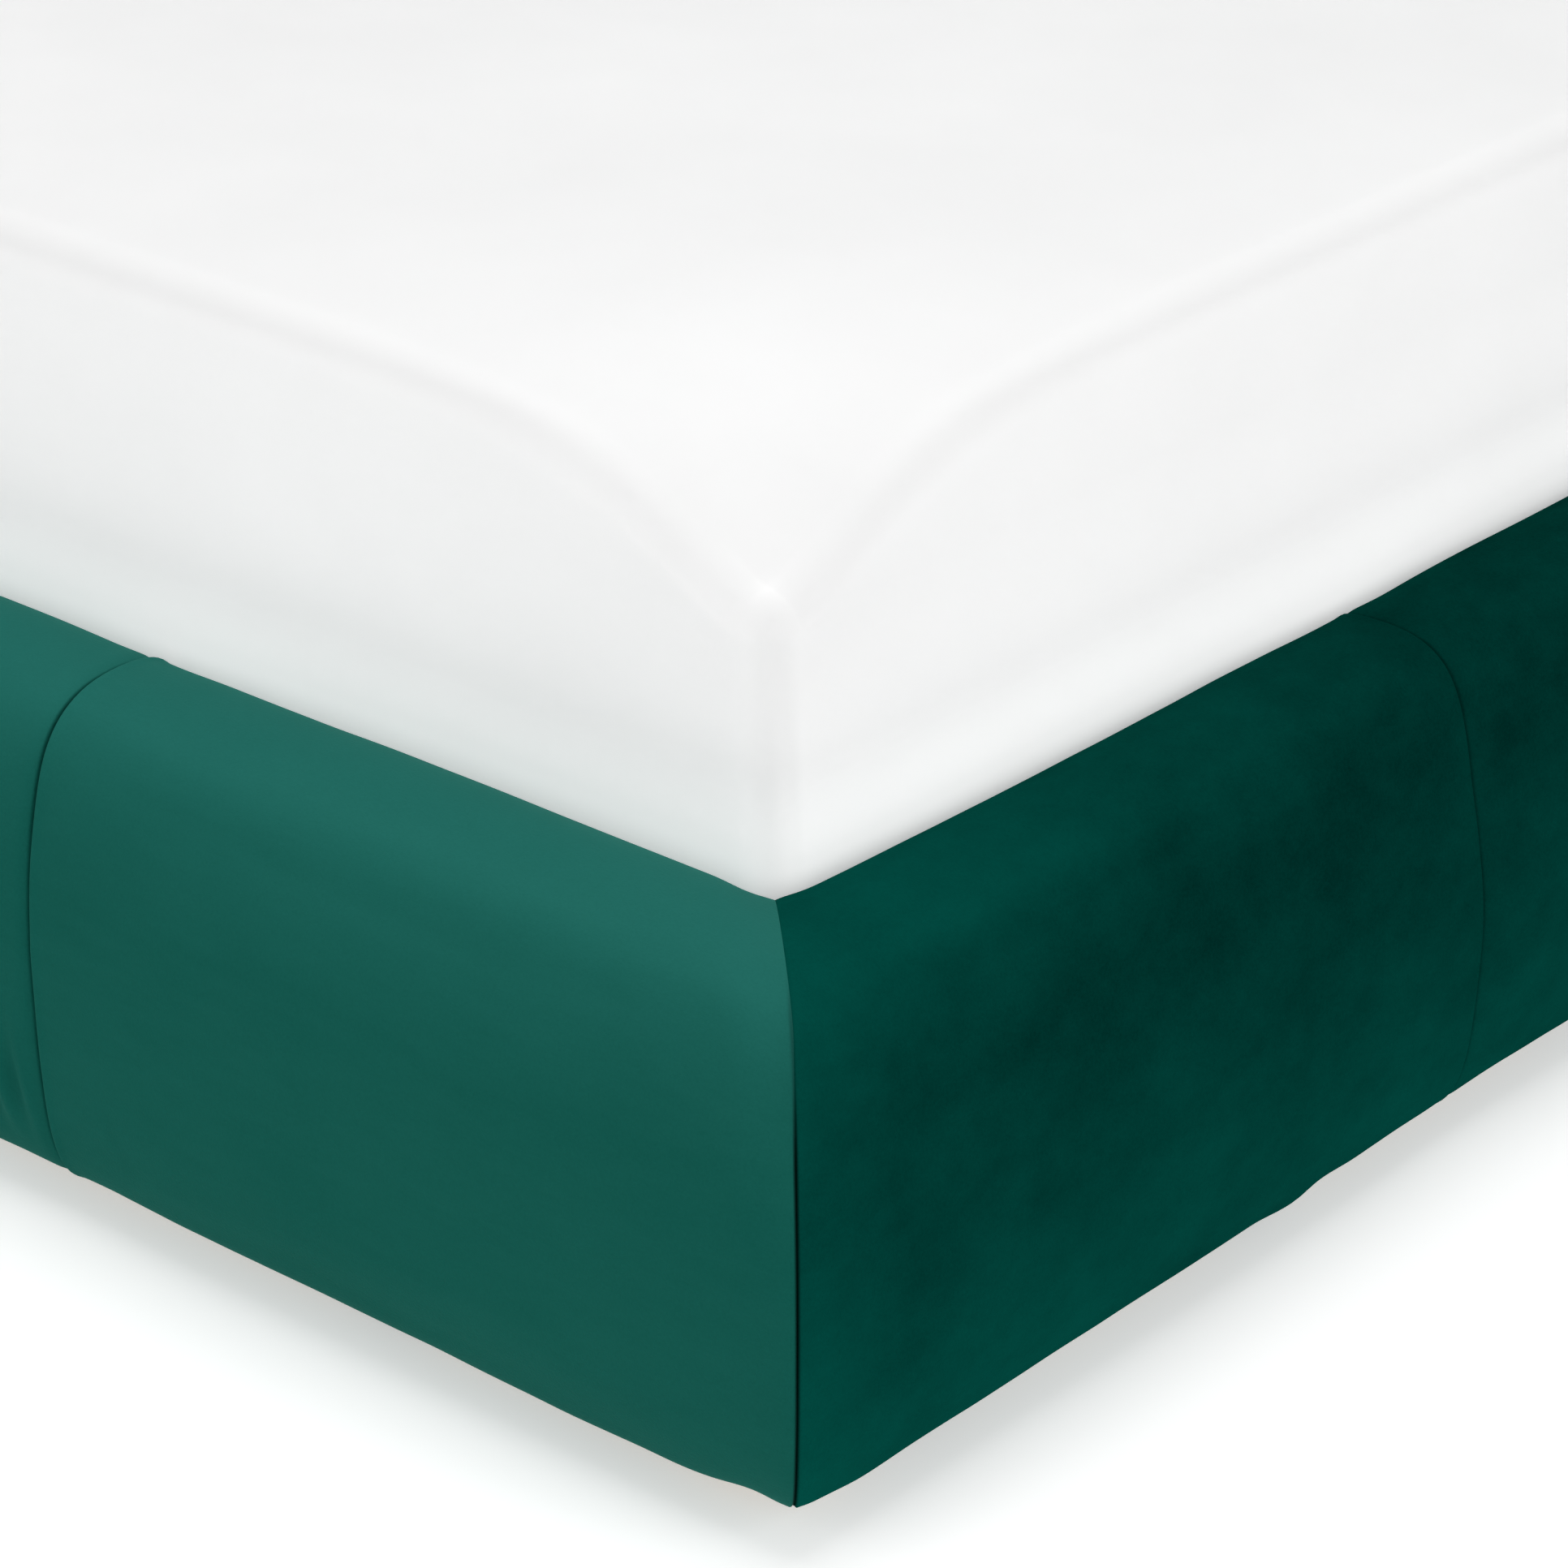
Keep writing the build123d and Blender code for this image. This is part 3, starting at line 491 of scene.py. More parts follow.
class Panel:
    """A grid of cloth laid along a rail between start(t) and end(t), t being the distance in."""

    def __init__(self, start, end, place, seed, columns=80, spacing=crowded):
        self.seed = seed
        self.mesh = bmesh.new()
        bmesh.ops.create_grid(self.mesh, x_segments=columns, y_segments=rows_round, size=0.5)
        self.out, self.middle, self.from_start, self.from_end = [], [], [], []
        self.round, self.depth = [], []
        threads = self.mesh.loops.layers.uv.new("cloth")
        self.seam = self.mesh.verts.layers.float.new("seam")
        flat = {}
        for vertex in self.mesh.verts:
            u, v = vertex.co.x + 0.5, vertex.co.y + 0.5
            u = spacing(u)
            spot = min(v * (len(section) - 1), len(section) - 1.001)
            here, there = section[int(spot)], section[int(spot) + 1]
            point = here.lerp(there, spot - int(spot))
            run = there - here
            outward = Vector((run.y, -run.x)).normalized()
            first, last = start(point.x), end(point.x)
            along = first + (last - first) * u
            base = place(along, point.x, point.y)
            vertex.co = base
            self.out.append((place(along, point.x + outward.x, point.y + outward.y) - base).normalized())
            self.middle.append(place(along, 65 * MM, -160 * MM))
            self.from_start.append(along - first)
            self.from_end.append(last - along)
            self.round.append(v * section_length)
            self.depth.append(point.x)
            flat[vertex] = (along, v * section_length)
        for face in self.mesh.faces:
            for loop in face.loops:
                loop[threads].uv = flat[loop.vert]
        self.mesh.verts.ensure_lookup_table()
        self.mesh.faces.ensure_lookup_table()
        face = self.mesh.faces[len(self.mesh.faces) // 2]
        face.normal_update()
        self.mesh.verts.index_update()
        if face.normal.dot(self.out[face.verts[0].index]) < 0:
            bmesh.ops.reverse_faces(self.mesh, faces=self.mesh.faces)

    def push(self, amount):
        """Moves every point outwards by amount(index, point)."""
        self.mesh.verts.ensure_lookup_table()
        for i, vertex in enumerate(self.mesh.verts):
            vertex.co += self.out[i] * amount(i, vertex.co)

    def lift(self, amount):
        for i, vertex in enumerate(self.mesh.verts):
            vertex.co.z += amount(i, vertex.co)


# %% [markdown]
# Where two panels meet at the bed's corner, they meet on a slant plane, and both must move the same way
# or a gap opens. So near a mitre the way out turns towards the slant, the sum of both panels' ways out.
# The inner end of the mitre is padded round, to follow the mattress's rounded corner.

# %% The corner's way out


def turn_to_mitre(panel, distance, side):
    """side is 1 at the right corner and -1 at the left one."""
    for i, way in enumerate(panel.out):
        if abs(way.x) < abs(way.y):
            other = Vector((-way.y * side, 0, way.z))
        else:
            other = Vector((0, -way.x * side, way.z))
        share = bell(distance[i], 0.022)
        panel.out[i] = (way.lerp((way + other).normalized(), share)).normalized()
    inwards = Vector((-side, 1, 0)).normalized()
    for i, vertex in enumerate(panel.mesh.verts):
        filled = bell(distance[i], 0.020) * ramp(panel.depth[i], 0.095, 0.126)
        vertex.co += inwards * (5 * MM * filled)


# %% [markdown]
# The real cover is tight but not perfectly so: a cloth simulation finds the small puckers. The panel is
# pinned along its seams and staples, its flat cut is made a little too big near them, and a light
# pressure from the foam pushes the spare cloth outwards. Only how far each point moved along its own way
# out is kept, within a few millimetres, so the panel can't leave its rail.

# %% Let the cloth settle


def settle(mesh, out, cut, pressure=0.6, frames=14, least=-1.0 * MM, most=5 * MM):
    """Moves a pinned cloth as a simulation does. cut(i, point) is each point's place in the slack cut."""
    data = bpy.data.meshes.new("settling")
    mesh.to_mesh(data)
    cloth = bpy.data.objects.new("settling", data)
    scene.collection.objects.link(cloth)
    pins = cloth.vertex_groups.new(name="pins")
    pins.add([vertex.index for vertex in mesh.verts if vertex.is_boundary], 1, "ADD")
    cloth.shape_key_add(name="laid")
    slack = cloth.shape_key_add(name="cut")
    for i, point in enumerate(slack.data):
        point.co = cut(i, mesh.verts[i].co)
    modifier = cloth.modifiers.new("cloth", "CLOTH")
    modifier.settings.quality = 5
    modifier.settings.mass = 0.4
    modifier.settings.bending_stiffness = 0.6
    modifier.settings.vertex_group_mass = "pins"
    modifier.settings.rest_shape_key = slack
    modifier.settings.use_pressure = True
    modifier.settings.uniform_pressure_force = pressure
    modifier.settings.effector_weights.gravity = 0
    modifier.point_cache.frame_end = frames
    for number in range(1, frames + 1):
        scene.frame_set(number)
    settled = cloth.evaluated_get(bpy.context.evaluated_depsgraph_get()).data
    moved = []
    for i, vertex in enumerate(mesh.verts):
        way = (settled.vertices[i].co - vertex.co).dot(out[i])
        moved.append(min(max(way, least), most))
    for i, vertex in enumerate(mesh.verts):
        vertex.co += out[i] * moved[i]
    bpy.data.objects.remove(cloth)
    scene.frame_set(1)
    print("settled, moving up to", round(max(moved) / MM, 2), "mm")


# %% [markdown]
# A finished panel is its cloth with a thickness. The same few lines end every velvet piece: the mesh goes
# in an object at the origin, one subdivision rounds it, and a solidify gives it the inside of the cloth.

# %% Turn a mesh into a piece


def piece(mesh, name, material, body, nodes, thick=None, levels=1):
    """A finished object that stands for some CAD nodes."""
    for face in mesh.faces:
        face.smooth = True
    data = bpy.data.meshes.new(name)
    mesh.to_mesh(data)
    mesh.free()
    made = bpy.data.objects.new(name, data)
    scene.collection.objects.link(made)
    data.materials.append(material)
    if levels:
        rounding = made.modifiers.new("rounding", "SUBSURF")
        rounding.levels = rounding.render_levels = levels
    if thick:
        cloth = made.modifiers.new("thickness", "SOLIDIFY")
        cloth.thickness = thick
        cloth.offset = -1
    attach(made, body)
    if nodes:
        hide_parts(*nodes)
    return made


def ripple(place, size, seed):
    """Smooth noise between -1 and 1."""
    return noise.noise(Vector(place) / size + Vector((seed * 7.3, seed * 3.1, seed)))


# %% [markdown]
# Every panel gets the same handling: its crown is raised or lowered away from the corner, the cloth
# settles, its seams are drawn in, its belly pillows a little between the seams, and its lower edge,
# which is pulled by hand and stapled, waves by a millimetre or two.

# %% Dress a panel


def upholster(panel, crown, seams, mitre=None, reach=(0.02, 0.24), pinch=None):
    """seams gives (depth, dip, lip, darkness) at the panel's start and end, the first three in mm. The
    darkness darkens the seam's base colour, partly as pressed pile and partly as painted shade.
    """
    corner = mitre or [9] * len(panel.out)

    def slack(i, point):
        near = min(panel.from_start[i], panel.from_end[i])
        spare = 0.004 + 0.014 * bell(near, 0.045)
        return point + panel.out[i] * (2.2 * MM * bell(near, 0.05)) + (point - panel.middle[i]) * spare

    settle(panel.mesh, panel.out, slack)

    def shape(i, point):
        start, end, turn = panel.from_start[i], panel.from_end[i], panel.round[i]
        near = min(start, end)
        top = ramp(turn, 0.05, 0.12) * (1 - ramp(turn, 0.26, 0.38))
        face = ramp(turn, 0.18, 0.27)
        low = ramp(turn, 0.47, 0.55)
        reached = ramp(corner[i], *reach)
        move = top * (crown * reached - 3 * MM * (1 - reached))
        move += 1.0 * MM * ripple(point, 0.16, panel.seed)
        move += 0.4 * MM * ripple(point, 0.05, panel.seed + 4)
        move += 0.6 * MM * low * ripple((panel.from_start[i], 0, 0), 0.035, panel.seed + 9)
        move -= 1.5 * MM * (1 - ramp(near, 0, 0.11)) * (1 - bell(corner[i], 0.1))
        depth, dip, lip, dark = seams[0] if start < end else seams[1]
        seam = depth * bell(near, 0.0013) + dip * bell(near, 0.007) - lip * bell(near - 0.004, 0.004)
        seam *= 1 - 0.5 * low
        # The seam's darkness, pressed pile and painted shade in the groove, goes in the seam attribute.
        pressed_pile_and_shade = dark * bell(near, 0.0010)
        if corner[i] < 0.05:
            seam = (3.4 * bell(near, 0.0016) + 2.0 * bell(near, 0.009)) * face * (1 - 0.85 * low)
            pressed_pile_and_shade = bell(near, 0.0017) * (0.45 * ramp(turn, 0.15, 0.19) + 0.55 * ramp(turn, 0.21, 0.26))
        panel.mesh.verts[i][panel.seam] = min(pressed_pile_and_shade, 1)
        return move - seam * MM

    panel.push(shape)
    panel.lift(lambda i, point: ramp(panel.round[i], 0.42, 0.57) * (
        1.2 * MM * ripple((panel.from_start[i], 2, 0), 0.07, panel.seed)
        + (pinch(corner[i]) * MM if pinch else 0)
    ))


def foot_pinch(c):
    """How many millimetres the lower edge is drawn up, c metres from the corner."""
    drawn = 9 * bell(c, 0.055) + 4.2 * bell(c - 0.032, 0.022) + 3.2 * bell(c - 0.02, 0.035)
    return drawn - 2.6 * bell(c - 0.17, 0.06)


def side_pinch(c):
    drawn = 9 * bell(c, 0.044) + 2.4 * bell(c, 0.016) - 2.3 * bell(c - 0.056, 0.022)
    return drawn - 2.5 * bell(c - 0.08, 0.035) - 2.5 * ramp(c, 0.05, 0.2)


def dent(panel, place, size, amount, along):
    """Pushes the cloth round one place, in an ellipse: size is its half length and half width. In the
    bottom of a fold the base colour gets painted shade, with a little pressed pile."""
    place = Vector(place)
    along = Vector(along).normalized()

    def depth(i, point):
        gap = point - place
        run = gap.dot(along)
        across = (gap - along * run).length
        share = bell(run, size[0]) * bell(across, size[1])
        # Painted shade in a fold's valley, through the seam attribute.
        if amount < 0:
            vertex = panel.mesh.verts[i]
            vertex[panel.seam] = min(vertex[panel.seam] + 0.15 * share, 1)
        return amount * share

    panel.push(depth)


# %% [markdown]
# The foot rail is three panels: the outer two end on the mitres, and the middle one, which has folds
# beside a join, gets its columns close together near its ends.

# %% Foot rail velvet
velvet_thickness = 2.5 * MM
foot_crown = 3 * MM
side_crown = -8 * MM


def at_foot(along, depth, height):
    return Vector((along, foot_face + depth, rail_top + height))


def folded(u):
    """Spreads columns close together in the last tenth of the panel's width by each join."""
    near = min(u, 1 - u) / 0.3
    share = 0.10 * (0.3 * near + 0.7 * near**2) if near < 1 else 0.10 + 0.4 * (near - 1) / (0.5 / 0.3 - 1)
    return share if u < 0.5 else 1 - share


fold_columns = 116
foot_panels = {
    "left": Panel(lambda t: t - half_width, lambda t: -foot_seam, at_foot, 1),
    "centre": Panel(lambda t: -foot_seam, lambda t: foot_seam, at_foot, 2, fold_columns, folded),
    "right": Panel(lambda t: foot_seam, lambda t: half_width - t, at_foot, 3),
}
turn_to_mitre(foot_panels["left"], foot_panels["left"].from_start, -1)
turn_to_mitre(foot_panels["right"], foot_panels["right"].from_end, 1)
# The last of each four is the seam's darkness: pressed pile and painted shade.
proud, sunk = (6.5, 0, 0.9, 0.9), (6.5, 2.2, 0, 0.9)
near_corner = (0.0, 0.05)
ends = foot_panels["left"].from_start
upholster(foot_panels["left"], foot_crown, (proud, proud), ends, near_corner, foot_pinch)
upholster(foot_panels["centre"], foot_crown, (sunk, sunk))
ends = foot_panels["right"].from_end
upholster(foot_panels["right"], foot_crown, (proud, proud), ends, near_corner, foot_pinch)

# %% [markdown]
# By the foot rail's right-hand join the middle panel has spare cloth, gathered into short upright folds
# low down beside the seam, and the corner panel has one shallow crease a hand's width from it.

# %% Folds beside the foot join
folds = [(0.012, 3.2, 5), (0.022, -3.4, 5.5), (0.034, 4.2, 6), (0.047, -3.2, 7), (0.060, 2.0, 8)]
for gap, height, wide in folds:
    at = (foot_seam - gap, foot_face, 0.070)
    dent(foot_panels["centre"], at, (0.045, wide * MM), height * MM, (0.10, 0, -1))
for gap, height in [(0.069, 1.2), (0.077, -1.1)]:
    at = (foot_seam + gap, foot_face, 0.052)
    dent(foot_panels["right"], at, (0.034, 0.0045), height * MM, (0.28, 0, -1))

for side, panel in foot_panels.items():
    nodes = ["foot_rail_cover_" + side] + (["foot_rail_foam"] if side == "centre" else [])
    made = piece(
        panel.mesh, "lit_foot_velvet_" + side, lit_foot_velvet, "bed_frame", nodes, velvet_thickness
    )
print("foot rail dressed in", len(foot_panels), "panels")

# %% [markdown]
# Each side rail is three panels as well. The one at the foot starts on the mitre and has columns enough
# for a sag in its lower edge, and the one at the head ends against the headboard.

# %% Side rail velvet
cushion = 44 * MM


def against_headboard(t):
    """Where cloth t inside the rail's outer face meets the headboard's rounded edge."""
    short = min(max(cushion - t, 0), cushion)
    return headboard_face + cushion - math.sqrt(cushion**2 - short**2) - 0.5 * MM


side_panels = []
sag_columns = 144
# The last of each four is the seam's darkness: pressed pile and painted shade.
side_proud, side_sunk = (2.6, 0, 0.35, 0.35), (2.6, 0.9, 0, 0.35)
for side, word in ((1, "right"), (-1, "left")):

    def at_side(along, depth, height, side=side):
        return Vector((side * (half_width - depth), along, rail_top + height))

    runs = {
        "foot": (lambda t: foot_face + t, lambda t: side_seams[0]),
        "middle": (lambda t: side_seams[0], lambda t: side_seams[1]),
        "head": (lambda t: side_seams[1], against_headboard),
    }
    for seed, (run, (start, end)) in enumerate(runs.items()):
        columns = sag_columns if run == "foot" else 80
        panel = Panel(start, end, at_side, 10 * side + seed, columns)
        if run == "foot":
            turn_to_mitre(panel, panel.from_start, side)
        joins = (side_proud, side_proud) if run == "foot" else (side_sunk, side_sunk)
        if run == "foot":
            upholster(panel, side_crown, joins, panel.from_start, (0.0, 0.22), side_pinch)
        else:
            upholster(panel, side_crown, joins, None, (0, 1), lambda c: -2.5)
        side_panels.append((panel, run, word))

# %% [markdown]
# The right-hand rail sags by nearly a centimetre at one place on its lower edge and has one faint crease
# above it, where the cloth was pulled down to its staples.

# %% A sag in the side rail
corner_panel = side_panels[0][0]
sag_at = foot_face + 0.503


def sag(i, point):
    """Steep on the head side, where the staples hold, and long on the foot side."""
    gap = point.y - sag_at
    drop = 9.5 * bell(gap, 0.013 if gap > 0 else 0.032) - 1.5 * bell(gap - 0.034, 0.014)
    return -drop * MM * ramp(corner_panel.round[i], 0.46, 0.56)


corner_panel.lift(sag)
dent(corner_panel, (half_width, sag_at - 0.032, 0.19), (0.055, 0.007), -1.3 * MM, (0, 0.05, 1))

for panel, run, word in side_panels:
    nodes = ["side_rail_cover_" + run + "_" + word]
    nodes += ["side_rail_foam_" + word] if run == "middle" else []
    made = piece(
        panel.mesh, "shaded_side_velvet_" + run + "_" + word, shaded_side_velvet, "bed_frame", nodes,
        velvet_thickness,
    )
print("side rails dressed in", len(side_panels), "panels")

# %% [markdown]
# The headboard, the mattress and the sheet are all boxes with soft edges. A cube is scored by cutting it
# with planes, close together near its edges and wide apart between, and then every point is drawn in
# onto a rounded box. Planes are better than an even subdivision here, because a bed is far longer than
# its edges are round.

# %% A scored, rounded box


def scores(low, high, radius, round_count, flat_count):
    """Places to cut along one side, so that the rounded edges get even strips."""
    turns = [math.tan(math.pi / 4 * k / round_count) for k in range(round_count)]
    edge = [radius * (1 - turn) for turn in turns]
    span = high - low - 2 * radius
    middle = [low + radius + span * k / flat_count for k in range(1, flat_count)]
    return sorted([low + e for e in edge] + middle + [high - e for e in edge])


def scored_box(low, high, cuts):
    """A box cut through at the given places along X, Y and Z."""
    mesh = bmesh.new()
    bmesh.ops.create_cube(mesh, size=1)
    bmesh.ops.scale(mesh, vec=high - low, verts=mesh.verts)
    bmesh.ops.translate(mesh, vec=(low + high) / 2, verts=mesh.verts)
    for axis, places in enumerate(cuts):
        across = Vector([1 if k == axis else 0 for k in range(3)])
        for place in places:
            everything = mesh.verts[:] + mesh.edges[:] + mesh.faces[:]
            bmesh.ops.bisect_plane(mesh, geom=everything, plane_co=across * place, plane_no=across)
    return mesh


def rounded(point, low, high, radius):
    """The nearest point on a box with rounded edges."""
    inner = Vector([min(max(p, a + radius), b - radius) for p, a, b in zip(point, low, high)])
    out = point - inner
    return inner + out.normalized() * radius if out.length > 1e-9 else point.copy()


def lay_flat(mesh):
    """A cloth map in metres, each face seen from the side that it faces most."""
    threads = mesh.loops.layers.uv.new("cloth")
    for face in mesh.faces:
        face.normal_update()
        way = [abs(n) for n in face.normal]
        axes = [k for k in range(3) if k != way.index(max(way))]
        for loop in face.loops:
            loop[threads].uv = [loop.vert.co[k] for k in axes]


# %% [markdown]
# The headboard's front is one thick cushion over its board, in three panels joined like the foot rail's,
# and it stays open behind, where a thin black cloth closes it.

# %% Headboard velvet
board_low = Vector((-half_width, headboard_face, rail_foot))
board_high = Vector((half_width, cloth_low.y - 0.3 * MM, panel_high.z))
cuts_x = scores(board_low.x, board_high.x, cushion, 6, 66)
seam_cuts = [side * (foot_seam + gap * MM) for side in (-1, 1) for gap in (-9, -5, -2.5, 0, 2.5, 5, 9)]
cuts_x = sorted([x for x in cuts_x if min(abs(x - s) for s in seam_cuts) > 4 * MM] + seam_cuts)
cuts_y = [y for y in scores(board_low.y, board_high.y, cushion, 6, 3) if y < board_high.y - cushion]
cuts_y += [board_high.y - 30 * MM, board_high.y - 15 * MM]
cuts_z = scores(board_low.z, board_high.z, cushion, 6, 44)
front = scored_box(board_low, board_high, (cuts_x, cuts_y, cuts_z))
back_faces = [face for face in front.faces if min(v.co.y for v in face.verts) > board_high.y - 1e-6]
bmesh.ops.delete(front, geom=back_faces, context="FACES")
lay_flat(front)
deep_high = board_high + Vector((0, 2 * cushion, 0))
for vertex in front.verts:
    vertex.co = rounded(vertex.co, board_low, deep_high, cushion)
front.normal_update()
for side in (-1, 1):
    on_seam = [e for e in front.edges if all(abs(v.co.x - side * foot_seam) < 1e-5 for v in e.verts)]
    bmesh.ops.split_edges(front, edges=on_seam)
front.verts.ensure_lookup_table()
front.verts.index_update()
print("headboard cushion has", len(front.faces), "faces")

# %% [markdown]
# The cushion settles like a rail's panel, pinned at its seams and at its back edge, and then its seams
# are drawn in.

# %% Settle the headboard
for vertex in front.verts:
    vertex.normal_update()
ways = [vertex.normal.copy() for vertex in front.verts]
board_middle = (board_low + deep_high) / 2


def seam_gap(point):
    return abs(abs(point.x) - foot_seam)


def board_slack(i, point):
    puff = 0.006 + 0.012 * bell(seam_gap(point), 0.05)
    return point + (point - board_middle) * puff


settle(front, ways, board_slack, 1.0, 14, -1 * MM, 7 * MM)
for i, vertex in enumerate(front.verts):
    gap = seam_gap(vertex.co)
    inside = ramp(board_high.y - vertex.co.y, 0, 0.05)
    move = 1.6 * MM * ripple(vertex.co, 0.22, 31) + 0.5 * MM * ripple(vertex.co, 0.06, 32)
    move -= 5.0 * MM * bell(gap, 0.0045) + 3.0 * MM * (1 - ramp(gap, 0, 0.12))
    vertex.co += ways[i] * move * inside

# Painted shade and pressed pile darken the headboard's seams.
seam_shade_layer = front.verts.layers.float.new("seam")
for vertex in front.verts:
    vertex[seam_shade_layer] = 0.8 * bell(seam_gap(vertex.co), 0.0020)

headboard_nodes = ["headboard_cover_left", "headboard_cover_centre", "headboard_cover_right"]
headboard = piece(
    front, "headboard_velvet", headboard_velvet, "bed_frame", headboard_nodes + ["headboard_foam"],
    velvet_thickness,
)

# %% [markdown]
# The headboard's back is closed with a thin, felt-like cloth, folded under at its edges and stapled all
# round. It is a flat grid with the slight ripples that the staples pull.

# %% Headboard back cloth
cloth_size = cloth_high - cloth_low
back = bmesh.new()
bmesh.ops.create_grid(back, x_segments=90, y_segments=54, size=0.5)
cloth_map = back.loops.layers.uv.new("cloth")
for vertex in back.verts:
    x, z = vertex.co.x * cloth_size.x, vertex.co.y * cloth_size.z
    edge = min(cloth_size.x / 2 - abs(x), cloth_size.z / 2 - abs(z))
    pull = 0.35 * math.sin((x if abs(x) / cloth_size.x < abs(z) / cloth_size.z else z) / 0.05 * math.pi)
    wave = 0.55 * ripple((x, 0, z), 0.16, 41) + pull * bell(edge, 0.03)
    y = cloth_high.y - 0.35 * MM + wave * MM * ramp(edge, 0, 0.02)
    vertex.co = (x + (cloth_low.x + cloth_high.x) / 2, y, z + (cloth_low.z + cloth_high.z) / 2)
for face in back.faces:
    for loop in face.loops:
        loop[cloth_map].uv = (loop.vert.co.x, loop.vert.co.z)
    face.normal_update()
back.faces.ensure_lookup_table()
if back.faces[0].normal.y < 0:
    bmesh.ops.reverse_faces(back, faces=back.faces)
backing = piece(
    back, "headboard_backing", back_cloth, "bed_frame", ["headboard_back_cloth"], 0.9 * MM
)

# %% [markdown]
# The staples are 10 mm long bars of plated wire: thin boxes with bevelled edges, each a little crooked.

# %% Staples
staples = bmesh.new()
count_x, count_z = 36, 21
inset = 9 * MM
places = []
for k in range(count_x):
    x = cloth_low.x + inset + (cloth_size.x - 2 * inset) * k / (count_x - 1)
    places += [(x, cloth_low.z + inset, 0), (x, cloth_high.z - inset, 0)]
for k in range(1, count_z):
    z = cloth_low.z + inset + (cloth_size.z - 2 * inset) * k / count_z
    places += [(cloth_low.x + inset, z, 1), (cloth_high.x - inset, z, 1)]
for x, z, upright in places:
    wire = bmesh.ops.create_cube(staples, size=1)["verts"]
    size = (1.0 * MM, 0.7 * MM, 10 * MM) if upright else (10 * MM, 0.7 * MM, 1.0 * MM)
    bmesh.ops.scale(staples, vec=size, verts=wire)
    tilt = 0.12 * noise.noise(Vector((x * 31, z * 17, 3)))
    bmesh.ops.rotate(staples, matrix=Matrix.Rotation(tilt, 3, "Y"), verts=wire)
    bmesh.ops.translate(staples, vec=(x, cloth_high.y - 0.05 * MM, z), verts=wire)
wire_edges = staples.edges[:]
bmesh.ops.bevel(
    staples, geom=wire_edges, offset=0.2 * MM, segments=1, affect="EDGES", profile=0.5, material=-1
)
staple_wire = piece(staples, "backing_staples", zinc, "bed_frame", [], None, 0)
print("stapled at", len(places), "places")

# %% [markdown]
# The fitted sheet is cut with a pocket at each corner, so it has an upright seam there. Over a soft
# mattress the top edge falls away towards the corners, where the corner seam pulls it down.

# %% Fitted sheet
sheet_thickness = 1.3 * MM
soft_edge = 30 * MM
tuck = 100 * MM
cuts = [scores(sheet_low[k], sheet_high[k], soft_edge, 6, n) for k, n in enumerate((40, 52, 11))]
for k in (0, 1):
    cuts[k] += [sheet_low[k] + tuck, sheet_high[k] - tuck]
    cuts[k] = sorted(cuts[k])
sheet = scored_box(sheet_low, sheet_high, cuts)
opening = [
    face for face in sheet.faces
    if max(v.co.z for v in face.verts) < sheet_low.z + 1e-6
    and all(
        min(v.co[k] for v in face.verts) > sheet_low[k] + tuck - 1e-5
        and max(v.co[k] for v in face.verts) < sheet_high[k] - tuck + 1e-5
        for k in (0, 1)
    )
]
bmesh.ops.delete(sheet, geom=opening, context="FACES")
loose = [vertex for vertex in sheet.verts if not vertex.link_faces]
bmesh.ops.delete(sheet, geom=loose, context="VERTS")
lay_flat(sheet)


def corner_run(point):
    """How far a point of the mattress's edge is from its nearest upright corner, along the edge."""
    return Vector((
        max(sheet_high.x - soft_edge - abs(point.x - mattress_middle.x), 0),
        max((sheet_high.y - sheet_low.y) / 2 - soft_edge - abs(point.y - mattress_middle.y), 0),
    )).length


def soften(point, inset=0.0):
    """Where a point of the plain box goes on the soft mattress. inset lies that much inside the sheet."""
    size = Vector((inset, inset, inset))
    soft = rounded(point, sheet_low + size, sheet_high - size, soft_edge - inset)
    height = ramp(soft.z, sheet_low.z + 0.02, sheet_high.z)
    along = corner_run(soft)
    fall = 0.088 * math.exp(-((along / 0.095) ** 1.3)) * height**2.2
    reach = Vector((soft.x - mattress_middle.x, soft.y - mattress_middle.y, 0))
    soft.z -= fall
    soft.x -= math.copysign(0.010 * math.exp(-along / 0.07) * height, reach.x)
    soft.y -= math.copysign(0.010 * math.exp(-along / 0.07) * height, reach.y)
    crown = 4 * MM * (1 - ramp(sheet_high.z - soft.z, 0, 0.02))
    edge = min(sheet_high.x - abs(reach.x), (sheet_high.y - sheet_low.y) / 2 - abs(reach.y))
    soft.z += crown * (ramp(edge, 0.03, 0.3) - 1)
    return soft


for vertex in sheet.verts:
    vertex.co = soften(vertex.co)
sheet.normal_update()
print("sheet cut into", len(sheet.faces), "faces")

# %% [markdown]
# Faint vertical drags run down the sides where the hem pulls, and each corner seam is a fine groove in a
# long side. What is tucked underneath stays flat.

# %% Drags and corner seams
for vertex in sheet.verts:
    point, way = vertex.co.copy(), vertex.normal
    upright = 1 - min(abs(way.z) * 1.5, 1)
    low = ramp(mattress_middle.z + 0.04 - point.z, 0, 0.12)
    run = point.x + point.y * 1.7
    move = 0.7 * ripple((run, 0, point.z * 0.12), 0.030, 51) * upright * (0.25 + 0.75 * low)
    move += 1.0 * ripple(point, 0.25, 52) * ramp(point.z, sheet_low.z + 0.02, sheet_low.z + 0.05)
    if point.z > sheet_low.z + 0.03 and upright > 0.2:
        seam_run = abs(abs(point.y - mattress_middle.y) - (sheet_high.y - mattress_middle.y - 0.020))
        on_end = abs(abs(point.x) - sheet_high.x) < 0.02
        move -= 0.8 * bell(seam_run, 0.006) * on_end
    vertex.co += way * move * MM * (way.z > -0.5)
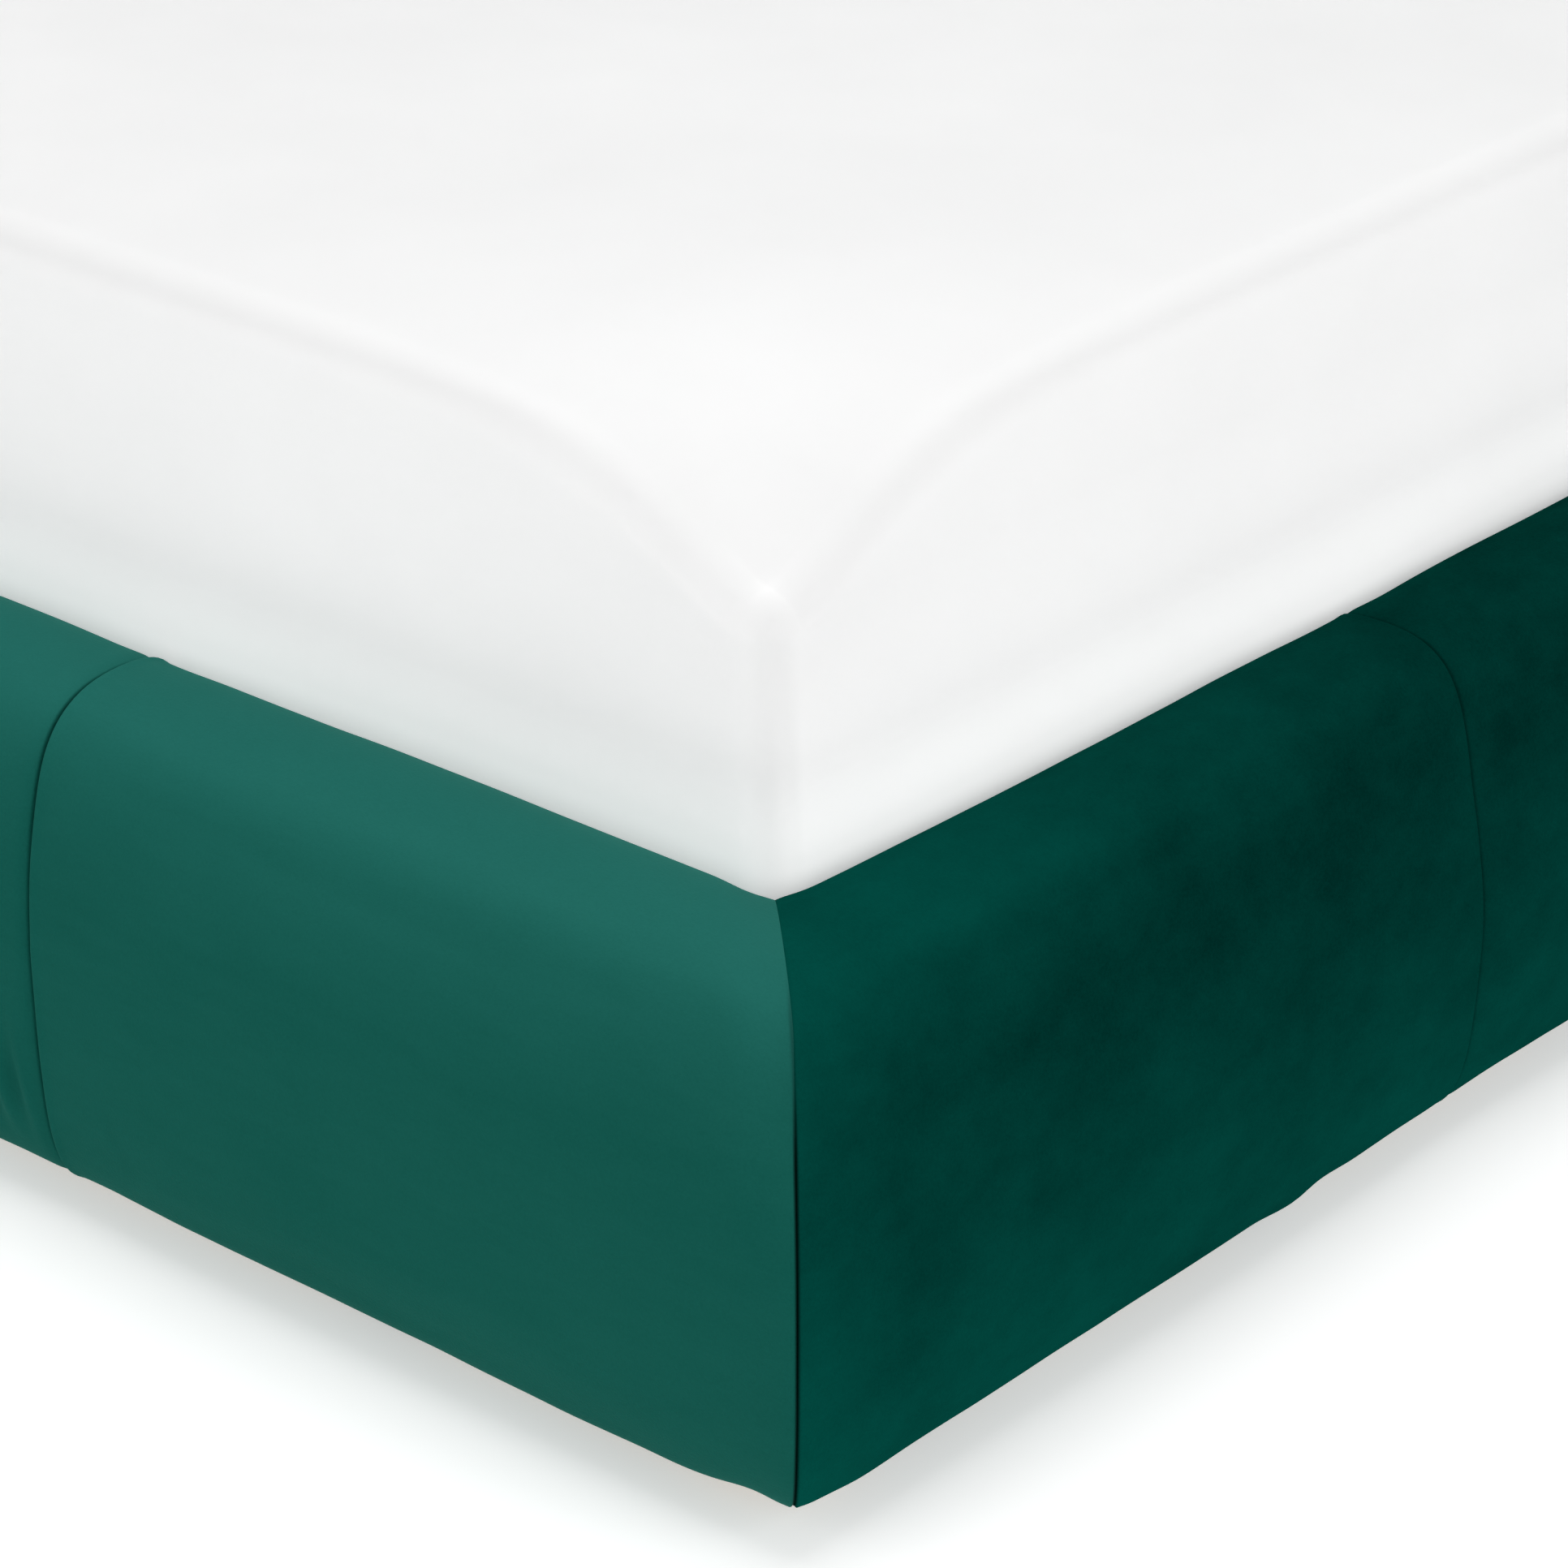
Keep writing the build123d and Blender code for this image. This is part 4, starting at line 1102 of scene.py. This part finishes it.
cover = piece(
    sheet, "fitted_sheet_cotton", cotton, "mattress", ["fitted_sheet"], sheet_thickness
)
sheet_size = sheet_high - sheet_low
hang = sheet_size.z + tuck - 50 * MM
flat_size = tuple(sheet_size[k] + 2 * hang for k in (0, 1))
pockets_cut_out = 4 * hang**2
flat_size[0] * flat_size[1] - pockets_cut_out
print("sheet is cut to", [round(s, 2) for s in flat_size], "m")

# %% [markdown]
# Under the sheet is the mattress: foam in a knitted cover, whose underside is what shows from below.

# %% Mattress
pad_low = sheet_low + Vector((1, 1, 1)) * (sheet_thickness + 0.2 * MM)
pad_high = sheet_high - Vector((1, 1, 1)) * (sheet_thickness + 0.2 * MM)
pad_cuts = [scores(pad_low[k], pad_high[k], soft_edge, 4, n) for k, n in enumerate((40, 50, 6))]
pad = scored_box(pad_low, pad_high, pad_cuts)
lay_flat(pad)
for vertex in pad.verts:
    vertex.co = soften(vertex.co, sheet_thickness + 2.5 * MM)
pad.normal_update()
for vertex in pad.verts:
    point = vertex.co.copy()
    if vertex.normal.z < -0.7:
        x, y = point.x - mattress_middle.x, point.y - mattress_middle.y
        quilt = abs(math.sin((x + y) / 0.14 * math.pi) * math.sin((x - y) / 0.14 * math.pi))
        vertex.co.z = pad_low.z + (1 - quilt) * 2.2 * MM
mattress = piece(
    pad, "mattress_padding", ticking, "mattress",
    ["mattress_ticking", "mattress_base_cloth", "mattress_base_foam", "mattress_top_foam"],
)

# %% [markdown]
# The floor is a pale, plain plane, wide enough that no edge shows. It glows a little, like the lit paper
# of a studio, so that only the bed's own contact shadow is seen on it.

# %% Floor
floor_finish = Finish(
    "pale_floor", base_color=(0.9, 0.9, 0.9, 1), specular_ior_level=0.1,
    emission_color=(1, 1, 1, 1), emission_strength=0.40,
)
floor_cloud = floor_finish.cloud(floor_finish.place(), 3, 2.0, 0.5)
floor_finish.set("Roughness", 0.85 + floor_cloud * 0.1)
ground = bmesh.new()
bmesh.ops.create_grid(ground, x_segments=4, y_segments=4, size=40)
floor_data = bpy.data.meshes.new("floor")
ground.to_mesh(floor_data)
ground.free()
floor_data.materials.append(floor_finish.material)
floor = bpy.data.objects.new("floor", floor_data)
scene.collection.objects.link(floor)
